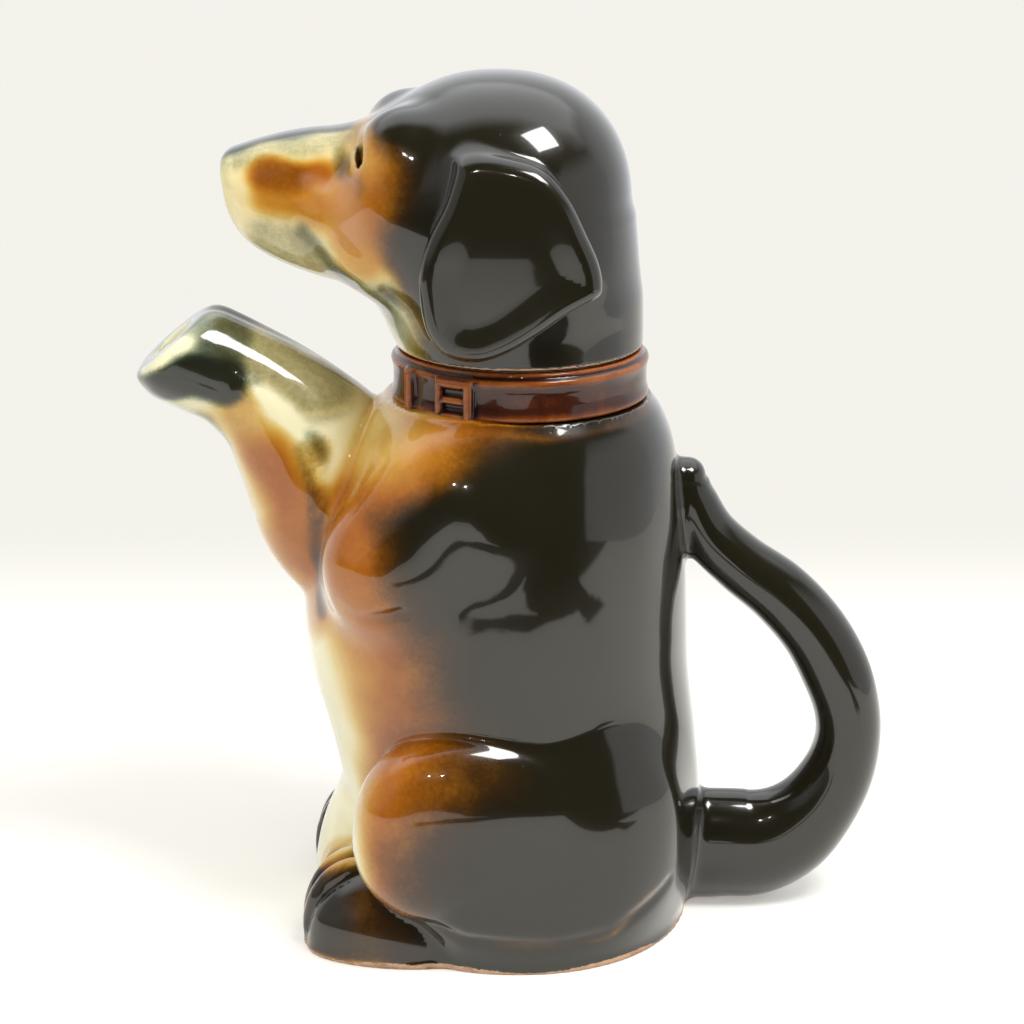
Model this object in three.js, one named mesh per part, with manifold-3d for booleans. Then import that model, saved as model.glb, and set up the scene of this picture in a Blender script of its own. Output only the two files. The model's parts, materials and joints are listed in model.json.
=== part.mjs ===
// A glazed pottery teapot shaped as a dachshund that sits up and begs.
// The torso is the pot, the raised forelegs are the spout, the tail is the handle, and the head is the lid.
// The head's flange drops into the neck, and its rim rests on the pot inside the dog's collar.
// Lengths are in millimetres. +Z is up, the dog faces -X, and the part stands on z = 0.

import * as THREE from "three";
import { mergeVertices } from "three/addons/utils/BufferGeometryUtils.js";
import Module from "manifold-3d";

const wasm = await Module();
wasm.setup();

const half = (size) => size / 2;

// Driving sizes of the pot
const potHeight = 131.7; // from the table to the seat of the lid
const chestReach = 47.2; // from the neck's axis forward to the chest
const backReach = 41.8; // from the neck's axis back to the rump
const bodyWidth = 80; // across the torso
const wall = 4.5; // the clay of the pot and of the lid
const floorThickness = 6;
const footRimWidth = 7; // the bare clay rim that the pot stands on
const footRecess = 1.2;

// Driving sizes of the neck, the collar and the lid's seat
const neckRadius = 24.8;
const mouthRadius = 20.8;
const collarThickness = 3.2;
const collarHeight = 9.5;
const collarDrop = 1.4; // from the seat down to the collar's top edge
const seatGap = 0.3; // between the lid's rim and the pot
const flangeClearance = 0.8; // round the flange in the neck
const flangeThickness = 3;
const flangeDepth = 10;
const buckleWidth = 12;
const buckleRelief = 1.5;

// Driving sizes of the limbs, with the places along the body's height as shares of the pot's height
const thighLength = 69;
const thighHeightShare = 0.35;
const thighSpread = 91; // across both thighs
const elbowShare = 0.583;
const upperArmShare = 0.318;
const upperArmWidth = 32;
const footWidth = 24;
const footLength = 40;
const footHeight = 21;
const footSpread = 44.6; // between the centres of the hind feet
const spoutReach = 36.2; // from the chest forward to the tips of the paws
const spoutRiseShare = 0.471; // from the elbows up to the mouth of the spout
const spoutWidth = 30; // across the two forelegs, which are cast as one
const mouthBore = 10; // across the mouth of the spout
const mouthDepth = 8.2; // from the last bend of the bore out to the mouth
const strainerHole = 4.6;
const tailReach = 40.2; // from the rump back to the bend of the tail
const tailShare = 0.7965;
const tailThickness = 15;

// Driving sizes of the head
const headHeight = 59.4; // from the seat to the crown
const headReach = 63.8; // from the neck's axis forward to the nose
const headBack = 26.8; // from the neck's axis back to the nape, which is also the lid's rim
const headWidth = 57;
const snoutWidth = 36;
const snoutHeight = 36;
const earLength = 44;
const earWidth = 37.8;
const earThickness = 7;
const earSpread = 71; // across both ears
const browLength = 19;
const eyeSize = 8;

// Shared by all pieces
const clearance = 0.3; // between castings that are joined with slip
const overrun = 2; // how far a cut runs past what it cuts
const castStep = 0.5; // how finely a swollen form is searched for its surface
const mergeTolerance = 1e-4;

// How many flats stand in for a full turn of each round form
const facets = { body: 52, chamber: 28, neck: 44, collar: 60, spout: 26, bore: 20, tail: 16, head: 40, skull: 22 };
const smallFacets = { toe: 14, instep: 22, hole: 12, earRoot: 16 };

// Finishes
const finishes = {
  darkGlaze: { color: 0x1b1916, roughness: 0.12, metalness: 0 },
  tanGlaze: { color: 0x9a5f2c, roughness: 0.12, metalness: 0 },
  creamGlaze: { color: 0xc9b77a, roughness: 0.12, metalness: 0 },
  collarGlaze: { color: 0x6b2410, roughness: 0.1, metalness: 0 },
  bareClay: { color: 0xcfae8e, roughness: 0.75, metalness: 0 },
};

// Joining and cutting

function solidOf(geometry) {
  const bare = geometry.index ? geometry.toNonIndexed() : geometry.clone();
  bare.deleteAttribute("normal");
  bare.deleteAttribute("uv");
  const merged = mergeVertices(bare, mergeTolerance);
  const mesh = new wasm.Mesh({
    numProp: 3,
    vertProperties: merged.attributes.position.array,
    triVerts: new Uint32Array(merged.index.array),
  });
  return new wasm.Manifold(mesh);
}

function joined(first, ...others) {
  return others.reduce((sum, next) => sum.add(next), first);
}

function cut(first, ...others) {
  return others.reduce((rest, next) => rest.subtract(next), first);
}

function geometryOf(solid) {
  const { numProp, numVert, vertProperties, triVerts } = solid.getMesh();
  const positions = new Float32Array(numVert * 3);
  for (let i = 0; i < numVert; i += 1) {
    positions.set(vertProperties.subarray(i * numProp, i * numProp + 3), i * 3);
  }
  const geometry = new THREE.BufferGeometry();
  geometry.setAttribute("position", new THREE.BufferAttribute(positions, 3));
  geometry.setIndex(new THREE.BufferAttribute(new Uint32Array(triVerts), 1));
  geometry.computeVertexNormals();
  return geometry;
}

// Simple solids

const mirrored = (solid) => solid.mirror([0, 1, 0]);

function turned(outline, segments) {
  const lathe = new THREE.LatheGeometry(outline, segments);
  return solidOf(lathe.rotateX(half(Math.PI)));
}

function upright(radius, low, high, segments) {
  const cylinder = new THREE.CylinderGeometry(radius, radius, high - low, segments);
  return solidOf(cylinder.rotateX(half(Math.PI)).translate(0, 0, half(low + high)));
}

function ball([x, y, z], [deep, wide, tall], around) {
  const sphere = new THREE.SphereGeometry(1, around, half(around));
  return solidOf(sphere.scale(deep, wide, tall).translate(x, y, z));
}

// Rows of numbers run through by a smooth curve, with so many rows made in each span.
function smoothRows(rows, perSpan) {
  const at = (i) => rows[Math.min(Math.max(i, 0), rows.length - 1)];
  const made = [];
  for (let i = 0; i < rows.length - 1; i += 1) {
    for (let step = 0; step < perSpan; step += 1) {
      const t = step / perSpan;
      const row = at(i).map((b, column) => {
        const [a, c, d] = [at(i - 1)[column], at(i + 1)[column], at(i + 2)[column]];
        const slopeIn = half(c - a);
        const slopeOut = half(d - b);
        const bend = 3 * (c - b) - 2 * slopeIn - slopeOut;
        const twist = 2 * (b - c) + slopeIn + slopeOut;
        return b + t * (slopeIn + t * (bend + t * twist));
      });
      made.push(row);
    }
  }
  made.push([...rows.at(-1)]);
  return made;
}

// A closed skin over rings with equal counts of points, with each end closed to its middle.
function skin(rings) {
  const around = rings[0].length;
  const middleOf = (ring) => ring.reduce((sum, p) => sum.add(p), new THREE.Vector3()).divideScalar(around);
  const points = [...rings.flat(), middleOf(rings[0]), middleOf(rings.at(-1))];
  const firstMiddle = points.length - 2;
  const lastMiddle = points.length - 1;
  const lastRing = (rings.length - 1) * around;
  const faces = [];
  for (let k = 0; k < around; k += 1) {
    const next = (k + 1) % around;
    for (let ring = 0; ring < rings.length - 1; ring += 1) {
      const [low, high] = [ring * around, (ring + 1) * around];
      faces.push(low + k, low + next, high + next, low + k, high + next, high + k);
    }
    faces.push(firstMiddle, next, k, lastMiddle, lastRing + k, lastRing + next);
  }
  const geometry = new THREE.BufferGeometry().setFromPoints(points);
  geometry.setIndex(faces);
  return solidOf(geometry);
}

// Swellings: egg-shaped lumps that grow out of a form on both of its sides

// The distance from an egg's surface, below zero inside it.
function eggDistance(egg, point, grow) {
  const radii = egg.radii.clone().addScalar(grow);
  const local = new THREE.Vector3(point.x, -Math.abs(point.y), point.z).sub(egg.centre);
  local.applyAxisAngle(new THREE.Vector3(0, 0, 1), -(egg.swing ?? 0));
  local.applyAxisAngle(new THREE.Vector3(0, 1, 0), -(egg.tilt ?? 0));
  const unit = local.clone().divide(radii);
  const steep = unit.clone().divide(radii).length();
  const size = unit.length();
  return steep > 0 ? (size * (size - 1)) / steep : -Math.min(...radii.toArray());
}

// The smaller of two distances, with the crease between them filled over the given reach.
function filled(a, b, reach) {
  const near = Math.max(reach - Math.abs(a - b), 0) / reach;
  return Math.min(a, b) - half(half(near * near * reach));
}

// How far out a ray leaves a form: its own outline at this angle, swollen by its eggs.
function castOut(centre, ray, outline, eggs, grow) {
  const distance = (reach) => {
    const point = centre.clone().addScaledVector(ray, reach);
    return eggs.reduce((sum, egg) => filled(sum, eggDistance(egg, point, grow), egg.fill), reach - outline);
  };
  const furthest = Math.max(...eggs.map((egg) => egg.centre.distanceTo(centre) + egg.radii.length()), 0);
  let reach = Math.max(furthest, outline) + castStep;
  while (reach > castStep && distance(reach) > 0) {
    reach -= castStep;
  }
  let [inside, outside] = [reach, reach + castStep];
  while (outside - inside > mergeTolerance) {
    const middle = half(inside + outside);
    [inside, outside] = distance(middle) > 0 ? [inside, middle] : [middle, outside];
  }
  return inside;
}

// A ring between its upper and its lower point in the middle plane: x, z, x, z, then its half width.
function ringBetween([upperX, upperZ, lowerX, lowerZ, wide], around, eggs, grow, squareness) {
  const upper = new THREE.Vector3(upperX, 0, upperZ);
  const lower = new THREE.Vector3(lowerX, 0, lowerZ);
  const centre = upper.clone().add(lower).multiplyScalar(half(1));
  const tall = half(upper.distanceTo(lower)) + grow;
  const up = upper.sub(lower).normalize();
  const across = new THREE.Vector3(0, 1, 0);
  return Array.from({ length: around }, (_, k) => {
    const angle = (2 * Math.PI * k) / around;
    const [c, s] = [Math.cos(angle), Math.sin(angle)].map((v) => Math.sign(v) * Math.abs(v) ** squareness);
    const ray = up.clone().multiplyScalar(tall * c).addScaledVector(across, (wide + grow) * s);
    const outline = ray.length();
    ray.normalize();
    const reach = eggs.length ? castOut(centre, ray, outline, eggs, grow) : outline;
    return centre.clone().addScaledVector(ray, reach);
  });
}

function swollen(rows, around, { eggs = [], grow = 0, squareness = 1 } = {}) {
  return skin(rows.map((row) => ringBetween(row, around, eggs, grow, squareness)));
}

// Oval rings along a line in the middle plane: each row is x, z, half height and half width.
function limb(rows, around) {
  const pairs = rows.map(([x, z, tall, wide], i) => {
    const [before, after] = [rows[Math.max(i - 1, 0)], rows[Math.min(i + 1, rows.length - 1)]];
    const along = new THREE.Vector2(after[0] - before[0], after[1] - before[1]).normalize();
    return [x + along.y * tall, z - along.x * tall, x - along.y * tall, z + along.x * tall, wide];
  });
  return swollen(pairs, around);
}

// The pot

const halfBody = half(bodyWidth);
const thighHeight = thighHeightShare * potHeight;
const elbowHeight = elbowShare * potHeight;
const upperArmLength = upperArmShare * potHeight;
const spoutRise = spoutRiseShare * potHeight;
const tailHeight = tailShare * potHeight;
const collarTop = potHeight - collarDrop;
const collarFoot = collarTop - collarHeight;
const collarRadius = neckRadius + clearance + collarThickness;
const bodySquareness = 0.93;

// Height in shares of the collar's foot, then reach forward, reach back and half width.
const torsoShares = [
  [0, 0.81, 0.915, 0.955],
  [0.012, 0.83, 0.945, 0.985],
  [0.105, 0.843, 0.995, 1.025],
  [0.229, 0.839, 0.986, 1.037],
  [0.353, 0.9, 0.952, 1],
  [0.478, 0.985, 0.909, 0.9625],
  [0.577, 1.015, 0.895, 0.95],
  [0.685, 1, 0.88, 0.9375],
  [0.809, 0.915, 0.847, 0.9125],
  [0.895, 0.83, 0.812, 0.86],
  [0.95, 0.745, 0.765, 0.785],
];

function torsoRows() {
  const rows = torsoShares.map(([height, front, back, width]) => [
    back * backReach,
    height * collarFoot,
    -front * chestReach,
    height * collarFoot,
    width * halfBody,
  ]);
  const shoulder = neckRadius + collarThickness;
  return [...rows, [shoulder, collarFoot, -shoulder, collarFoot, shoulder]];
}

const thigh = {
  centre: new THREE.Vector3(0.036 * backReach, 0.44 * halfBody - half(thighSpread), 0.242 * collarFoot),
  radii: new THREE.Vector3(half(thighLength), 0.44 * halfBody, half(thighHeight)),
  tilt: 0.28,
  swing: 0.06,
  fill: 0.11 * thighHeight,
};

const knee = {
  centre: new THREE.Vector3(-0.36 * chestReach, -0.725 * halfBody, 0.3 * collarFoot),
  radii: new THREE.Vector3(0.24 * thighLength, 0.375 * halfBody, 0.36 * thighHeight),
  tilt: 0.2,
  fill: 0.13 * thighHeight,
};

const shoulder = {
  centre: new THREE.Vector3(-0.28 * chestReach, -0.53 * halfBody, elbowHeight + 0.58 * upperArmLength),
  radii: new THREE.Vector3(0.62 * upperArmWidth, 0.55 * upperArmWidth, 0.44 * upperArmLength),
  fill: 0.15 * upperArmWidth,
};

const elbow = {
  centre: new THREE.Vector3(-0.57 * chestReach, -0.64 * halfBody, elbowHeight + 0.3 * upperArmLength),
  radii: new THREE.Vector3(0.5 * upperArmWidth, 0.42 * upperArmWidth, 0.4 * upperArmLength),
  fill: 0.2 * upperArmWidth,
};

// The front of the lap, which runs down between the hind feet
const apron = {
  centre: new THREE.Vector3(-0.72 * chestReach, 0, 0.031 * collarFoot),
  radii: new THREE.Vector3(0.28 * chestReach, 0.55 * halfBody, 0.24 * collarFoot),
  fill: 0.1 * chestReach,
};

const bodyEggs = [thigh, knee, shoulder, elbow, apron];

function bodyForm(grow, around, perSpan) {
  const rows = smoothRows(torsoRows(), perSpan);
  return swollen(rows, around, { eggs: bodyEggs, grow, squareness: bodySquareness });
}

function underground() {
  const reach = 2 * (chestReach + backReach);
  return solidOf(new THREE.BoxGeometry(2 * reach, 2 * reach, reach).translate(0, 0, -half(reach)));
}

const strainerPitchShare = 1.55; // of a hole
const strainerRows = [2, 3, 2];
const spoutRootShare = 0.22; // of the spout's rise

function strainerHoles() {
  const pitch = strainerPitchShare * strainerHole;
  const height = elbowHeight + spoutRootShare * spoutRise;
  const centres = strainerRows.flatMap((count, row) =>
    Array.from({ length: count }, (_, k) => [
      (k - half(count - 1)) * pitch,
      height + (row - half(strainerRows.length - 1)) * pitch,
    ]),
  );
  return centres.map(([y, z]) => {
    const drill = new THREE.CylinderGeometry(half(strainerHole), half(strainerHole), chestReach, smallFacets.hole);
    return solidOf(drill.rotateZ(half(Math.PI)).translate(-chestReach, y, z));
  });
}

function potBody() {
  const neck = upright(neckRadius, collarFoot - overrun, potHeight, facets.neck);
  const block = new THREE.BoxGeometry(4 * chestReach, 4 * halfBody, floorThickness);
  const floor = solidOf(block.translate(0, 0, half(floorThickness)));
  const chamber = cut(bodyForm(-wall, facets.chamber, 1), floor);
  const mouth = upright(mouthRadius, half(potHeight), potHeight + overrun, facets.neck);
  const [upperX, , lowerX, , wide] = torsoRows()[0];
  const recessRows = [-overrun, footRecess].map((z) => [upperX, z, lowerX, z, wide]);
  const recess = swollen(recessRows, facets.chamber, { grow: -footRimWidth, squareness: bodySquareness });
  return cut(joined(bodyForm(0, facets.body, 3), neck), chamber, mouth, recess, ...strainerHoles());
}

// The collar, a strap round the neck with a buckle beside the chest

function collar() {
  const inside = neckRadius + clearance;
  const edge = half(collarThickness);
  const foot = collarFoot + clearance;
  const points = [
    [inside, foot],
    [collarRadius - half(edge), foot],
    [collarRadius, foot + half(edge)],
    [collarRadius, collarTop - edge],
    [collarRadius - half(edge), collarTop],
    [inside, potHeight - half(edge)],
  ];
  const outline = [...points, points[0]].map(([r, z]) => new THREE.Vector2(r, z));
  return joined(turned(outline, facets.collar), buckle());
}

const buckleAngle = 0.93; // round from the chest to the near side
const keeperAngle = 0.45; // from the buckle on towards the chest
const buckleBarShare = 0.2; // of the frame's width
const buckleHeightShare = 0.92; // of the collar

function onCollar(solid, angle) {
  const turn = THREE.MathUtils.radToDeg(Math.PI + angle);
  return solid.translate([collarRadius, 0, half(collarFoot + collarTop)]).rotate([0, 0, turn]);
}

function buckle() {
  const tall = buckleHeightShare * collarHeight;
  const bar = buckleBarShare * buckleWidth;
  const deep = 2 * buckleRelief;
  const frame = solidOf(new THREE.BoxGeometry(deep, buckleWidth, tall));
  const window = solidOf(new THREE.BoxGeometry(2 * deep, buckleWidth - 2 * bar, tall - 2 * bar));
  const prong = solidOf(new THREE.BoxGeometry(deep, buckleWidth, half(bar)));
  const keeper = solidOf(new THREE.BoxGeometry(deep, bar, tall));
  const clasp = joined(cut(frame, window), prong);
  return joined(onCollar(clasp, buckleAngle), onCollar(keeper, buckleAngle - keeperAngle));
}

// The spout: both forelegs held up together
// Each row is reach beyond the chest, height above the elbows, half height and half width.
const spoutShares = [
  [-0.85, 0.06, 0.26, 0.5],
  [-0.547, 0.145, 0.355, 0.56],
  [-0.301, 0.268, 0.38, 0.57],
  [-0.141, 0.427, 0.337, 0.54],
  [0.022, 0.566, 0.274, 0.49],
  [0.2, 0.685, 0.218, 0.45],
  [0.406, 0.777, 0.19, 0.43],
  [0.6, 0.833, 0.193, 0.467],
  [0.779, 0.879, 0.184, 0.493],
  [0.901, 0.906, 0.155, 0.46],
  [1.017, 0.93, 0.113, 0.38],
];

const boreShares = [
  [-1.2, 0.12, 0.17, 0.3],
  [-0.45, 0.22, 0.26, 0.34],
  [-0.1, 0.43, 0.22, 0.32],
  [0.13, 0.63, 0.14, 0.26],
  [0.36, 0.755, 0.085, 0.18],
];

const mouthShares = [0.66, 0.815]; // the bend of the bore below the mouth
const mouthSlope = 0.71; // how far the mouth leans forward from level

function limbRows(shares) {
  return shares.map(([reach, rise, tall, wide]) => [
    -(chestReach + reach * spoutReach),
    elbowHeight + rise * spoutRise,
    tall * spoutRise,
    wide * spoutWidth,
  ]);
}

function spout() {
  const legs = limb(smoothRows(limbRows(spoutShares), 2), facets.spout);
  const radius = half(mouthBore);
  const facing = new THREE.Vector3(-Math.sin(mouthSlope), 0, Math.cos(mouthSlope));
  const [reach, rise] = mouthShares;
  const bend = new THREE.Vector3(-(chestReach + reach * spoutReach), 0, elbowHeight + rise * spoutRise);
  const centre = bend.clone().addScaledVector(facing, mouthDepth);
  const side = spoutReach;
  const beyond = new THREE.BoxGeometry(2 * side, 2 * side, side).translate(0, 0, half(side));
  beyond.rotateY(-mouthSlope).translate(centre.x, 0, centre.z);
  const out = centre.clone().addScaledVector(facing, overrun);
  const end = [bend, out].map(({ x, z }) => [x, z, radius, radius]);
  const bore = limb([...smoothRows(limbRows(boreShares), 2), ...end], facets.bore);
  return cut(legs, solidOf(beyond), bore, bodyForm(clearance, facets.body, 3));
}

// The tail, which curls up from the rump to the back as the handle
// Each row is reach beyond the rump, height, half height and half width.
const tailShares = [
  [-0.25, 0.128, 0.84, 0.5],
  [0, 0.131, 0.87, 0.56],
  [0.14, 0.132, 0.86, 0.58],
  [0.33, 0.134, 0.84, 0.58],
  [0.51, 0.164, 0.755, 0.57],
  [0.66, 0.221, 0.63, 0.56],
  [0.77, 0.298, 0.545, 0.55],
  [0.818, 0.377, 0.51, 0.54],
  [0.806, 0.452, 0.51, 0.53],
  [0.735, 0.535, 0.525, 0.52],
  [0.603, 0.626, 0.51, 0.51],
  [0.41, 0.71, 0.49, 0.5],
  [0.185, 0.777, 0.445, 0.48],
  [0.01, 0.842, 0.42, 0.45],
  [-0.085, 0.913, 0.36, 0.4],
  [-0.115, 0.964, 0.25, 0.32],
  [-0.12, 0.99, 0.1, 0.14],
];

function tail() {
  const rows = tailShares.map(([reach, height, tall, wide]) => [
    backReach + reach * tailReach,
    height * tailHeight,
    tall * tailThickness,
    wide * tailThickness,
  ]);
  return cut(limb(smoothRows(rows, 2), facets.tail), bodyForm(clearance, facets.body, 3));
}

// The hind feet

const toeShares = [1.017, 1.034, 1.017, 0.95]; // of the chest's reach, from the inner toe outwards

function hindFoot() {
  const middle = half(footSpread);
  const pitch = footWidth / toeShares.length;
  const toeDeep = 0.26 * footLength;
  const toes = toeShares.map((forward, k) => {
    const y = -(middle + (k - half(toeShares.length - 1)) * pitch);
    const x = toeDeep - forward * chestReach;
    return ball([x, y, 0.34 * footHeight], [toeDeep, 0.72 * pitch, 0.62 * footHeight], smallFacets.toe);
  });
  const instepCentre = [0.58 * footLength - chestReach, -middle, 0.16 * footHeight];
  const instep = ball(instepCentre, [0.55 * footLength, half(footWidth), 0.7 * footHeight], smallFacets.instep);
  return cut(joined(instep, ...toes), underground(), bodyForm(clearance, facets.body, 3));
}

// The lid

const seat = potHeight + seatGap;
const halfHead = half(headWidth);
const crown = headHeight - seatGap;

// Rings that fan round from the lid's rim to the nose. The upper end of each runs up the nape, over the crown and
// down the bridge; the lower end runs up the throat and out along the jaw. Then comes the half width.
// Reaches behind the neck's axis are shares of the nape's, and reaches ahead of it are shares of the nose's.
const headShares = [
  [1, 0, -0.42, 0, 0.94],
  [0.98, 0.13, -0.452, 0.055, 0.955],
  [0.945, 0.315, -0.464, 0.105, 0.99],
  [0.88, 0.51, -0.492, 0.15, 1.02],
  [0.765, 0.71, -0.527, 0.186, 1],
  [0.54, 0.89, -0.567, 0.224, 0.965],
  [0.155, 0.977, -0.62, 0.252, 0.86],
  [-0.11, 1, -0.674, 0.266, 0.72],
  [-0.282, 0.975, -0.724, 0.281, 0.615],
  [-0.415, 0.928, -0.762, 0.293, 0.555],
  [-0.486, 0.86, -0.79, 0.306, 0.525],
  [-0.552, 0.806, -0.818, 0.322, 0.5],
  [-0.643, 0.792, -0.85, 0.34, 0.472],
  [-0.737, 0.78, -0.882, 0.364, 0.44],
  [-0.837, 0.757, -0.914, 0.394, 0.404],
  [-0.917, 0.735, -0.944, 0.431, 0.36],
  [-0.969, 0.71, -0.966, 0.468, 0.305],
  [-0.994, 0.677, -0.978, 0.512, 0.225],
  [-1, 0.637, -0.994, 0.57, 0.12],
];

function headRows() {
  const along = (share) => share * (share > 0 ? headBack : headReach);
  return headShares.map(([upperX, upperZ, lowerX, lowerZ, wide]) => [
    along(upperX),
    seat + upperZ * crown,
    along(lowerX),
    seat + lowerZ * crown,
    wide * halfHead,
  ]);
}

const brow = {
  centre: new THREE.Vector3(-0.4 * headReach, -0.42 * halfHead, seat + 0.745 * headHeight),
  radii: new THREE.Vector3(0.42 * browLength, 0.38 * browLength, 0.5 * browLength),
  fill: 0.12 * browLength,
};

const eye = {
  centre: new THREE.Vector3(-0.53 * headReach, -0.42 * halfHead, seat + 0.71 * headHeight),
  radii: new THREE.Vector3(half(eyeSize), 0.36 * eyeSize, half(eyeSize)),
  fill: 0.1 * eyeSize,
};

const cheek = {
  centre: new THREE.Vector3(-0.5 * headReach, -0.36 * halfHead, seat + 0.5 * headHeight),
  radii: new THREE.Vector3(0.3 * snoutWidth, 0.24 * snoutWidth, 0.28 * snoutHeight),
  fill: 0.14 * snoutHeight,
};

const lip = {
  centre: new THREE.Vector3(-0.56 * headReach, -0.4 * halfHead, seat + 0.31 * headHeight),
  radii: new THREE.Vector3(0.34 * snoutWidth, 0.13 * snoutWidth, 0.13 * snoutHeight),
  fill: 0.1 * snoutHeight,
};

const headEggs = [brow, eye, cheek, lip];

function headForm(grow, around, perSpan) {
  return swollen(smoothRows(headRows(), perSpan), around, { eggs: headEggs, grow });
}

function head() {
  const below = upright(2 * headReach, seat - wall, seat + wall, facets.neck);
  const flangeInside = mouthRadius - flangeClearance - flangeThickness;
  const opening = upright(flangeInside, seat - overrun, seat + half(headHeight), facets.neck);
  return cut(headForm(0, facets.head, 2), cut(headForm(-wall, facets.skull, 1), below), opening);
}

// Across the ear from its front edge, and up from its tip.
const earShares = [
  [0.225, 0.973],
  [0.33, 1],
  [0.49, 0.986],
  [0.704, 0.94],
  [0.836, 0.802],
  [0.929, 0.618],
  [0.99, 0.477],
  [1, 0.36],
  [0.815, 0.23],
  [0.653, 0.134],
  [0.489, 0.048],
  [0.325, 0],
  [0.164, 0.02],
  [0.066, 0.1],
  [0.018, 0.22],
  [0, 0.41],
  [0.05, 0.573],
  [0.143, 0.734],
  [0.198, 0.872],
];

const earFrontShare = 0.35; // of the nose's reach, forward of the neck's axis
const earTipShare = 0.065; // of the head's height
const earFlare = 0.13;
const earBevelShare = 0.36;
const earPoints = 36;

function ear() {
  const points = earShares.map(([across, up]) => new THREE.Vector3(across * earWidth, up * earLength, 0));
  const edge = new THREE.CatmullRomCurve3(points, true, "catmullrom").getSpacedPoints(earPoints);
  const outline = new THREE.Shape(edge.slice(1).map(({ x, y }) => new THREE.Vector2(x, y)));
  const bevel = earBevelShare * earThickness;
  const flap = new THREE.ExtrudeGeometry(outline, {
    depth: earThickness - 2 * bevel,
    bevelEnabled: true,
    bevelThickness: bevel,
    bevelSize: bevel,
    bevelOffset: -bevel,
    bevelSegments: 2,
  });
  flap.translate(0, -half(earLength), 0);
  flap.rotateX(half(Math.PI) - earFlare);
  const height = seat + earTipShare * headHeight + half(earLength);
  flap.translate(-earFrontShare * headReach, earThickness - half(earSpread), height);
  const rootCentre = [-0.06 * headReach, -0.7 * half(earSpread), seat + 0.66 * headHeight];
  const root = ball(rootCentre, [0.3 * earWidth, 0.14 * earWidth, 0.17 * earWidth], smallFacets.earRoot);
  return cut(joined(solidOf(flap), root), headForm(clearance, facets.head, 2));
}

function lidFlange() {
  const outer = mouthRadius - flangeClearance;
  const inner = outer - flangeThickness;
  const foot = seat - flangeDepth;
  const taper = half(flangeThickness);
  const top = seat - clearance;
  const points = [
    [inner, foot],
    [outer - half(taper), foot],
    [outer, foot + taper],
    [outer, top],
    [inner, top],
  ];
  const outline = [...points, points[0]].map(([r, z]) => new THREE.Vector2(r, z));
  return turned(outline, facets.neck);
}

// The assembly

function piece(name, solid, finish) {
  const mesh = new THREE.Mesh(geometryOf(solid), new THREE.MeshStandardMaterial(finishes[finish]));
  mesh.name = name;
  return mesh;
}

const nearFoot = hindFoot();
const nearEar = ear();

const pot = new THREE.Group();
pot.add(
  piece("pot_body", potBody(), "darkGlaze"),
  piece("collar", collar(), "collarGlaze"),
  piece("foreleg_spout", spout(), "creamGlaze"),
  piece("tail_handle", tail(), "darkGlaze"),
  piece("left_hind_foot", nearFoot, "tanGlaze"),
  piece("right_hind_foot", mirrored(nearFoot), "tanGlaze"),
);

const lid = new THREE.Group();
lid.add(
  piece("head", head(), "darkGlaze"),
  piece("left_ear", nearEar, "darkGlaze"),
  piece("right_ear", mirrored(nearEar), "darkGlaze"),
  piece("lid_flange", lidFlange(), "bareClay"),
);

const teapot = new THREE.Group();
teapot.add(pot, lid);

// The origin lies on the table, under the middle of the whole teapot.
const bounds = new THREE.Box3().setFromObject(teapot);
teapot.position.x = -half(bounds.min.x + bounds.max.x);

export default teapot;
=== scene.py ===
"""A glazed pottery teapot shaped as a dachshund that begs, in the finish of its photograph.

The CAD nodes give the frame, the bodies and the joint. Each casting is sculpted again here as a smooth form:
a signed distance field is blended from a few tables and eggs of clay, and meshed. Sprayed glazes are laid
over it as soft masks, and the shaders add their mottling, pinholes and gloss.
"""

import json
import logging
import math
from dataclasses import dataclass
from enum import Enum
from typing import Callable, Sequence

import bpy
import numpy as np
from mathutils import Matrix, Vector

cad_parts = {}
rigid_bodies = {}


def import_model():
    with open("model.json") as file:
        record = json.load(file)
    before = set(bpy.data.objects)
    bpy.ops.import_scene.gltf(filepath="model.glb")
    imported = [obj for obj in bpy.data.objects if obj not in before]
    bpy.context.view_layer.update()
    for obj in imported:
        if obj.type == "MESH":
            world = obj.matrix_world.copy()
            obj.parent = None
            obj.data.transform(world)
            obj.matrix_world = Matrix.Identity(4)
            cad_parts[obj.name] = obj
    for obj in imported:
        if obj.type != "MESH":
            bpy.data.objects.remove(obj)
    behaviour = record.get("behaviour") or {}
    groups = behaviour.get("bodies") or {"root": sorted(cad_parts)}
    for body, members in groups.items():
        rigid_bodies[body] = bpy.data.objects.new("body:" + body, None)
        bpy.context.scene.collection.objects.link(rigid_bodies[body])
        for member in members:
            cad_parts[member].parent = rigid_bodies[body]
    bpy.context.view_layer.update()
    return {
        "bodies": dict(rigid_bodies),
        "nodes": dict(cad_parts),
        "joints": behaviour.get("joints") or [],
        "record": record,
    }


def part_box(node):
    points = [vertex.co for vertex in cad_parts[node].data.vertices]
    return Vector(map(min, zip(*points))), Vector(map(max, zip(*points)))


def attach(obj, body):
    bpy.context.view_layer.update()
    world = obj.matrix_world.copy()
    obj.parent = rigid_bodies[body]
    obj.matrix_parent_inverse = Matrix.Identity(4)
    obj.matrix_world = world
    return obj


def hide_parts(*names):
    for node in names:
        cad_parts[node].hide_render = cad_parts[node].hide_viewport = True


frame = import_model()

log = logging.getLogger("teapot")

MM = 0.001
LEAST = 1e-9
TINY = 1e-6
NEAR_MIDDLE = 1e-3
HALF_DIAGONAL = 0.87
BATCH = 60000
OPAQUE_BLACK = (0.0, 0.0, 0.0, 1.0)
Array = np.ndarray
Point = tuple[float, float, float]
Colour = tuple[float, float, float]


# Sculpting


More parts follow.
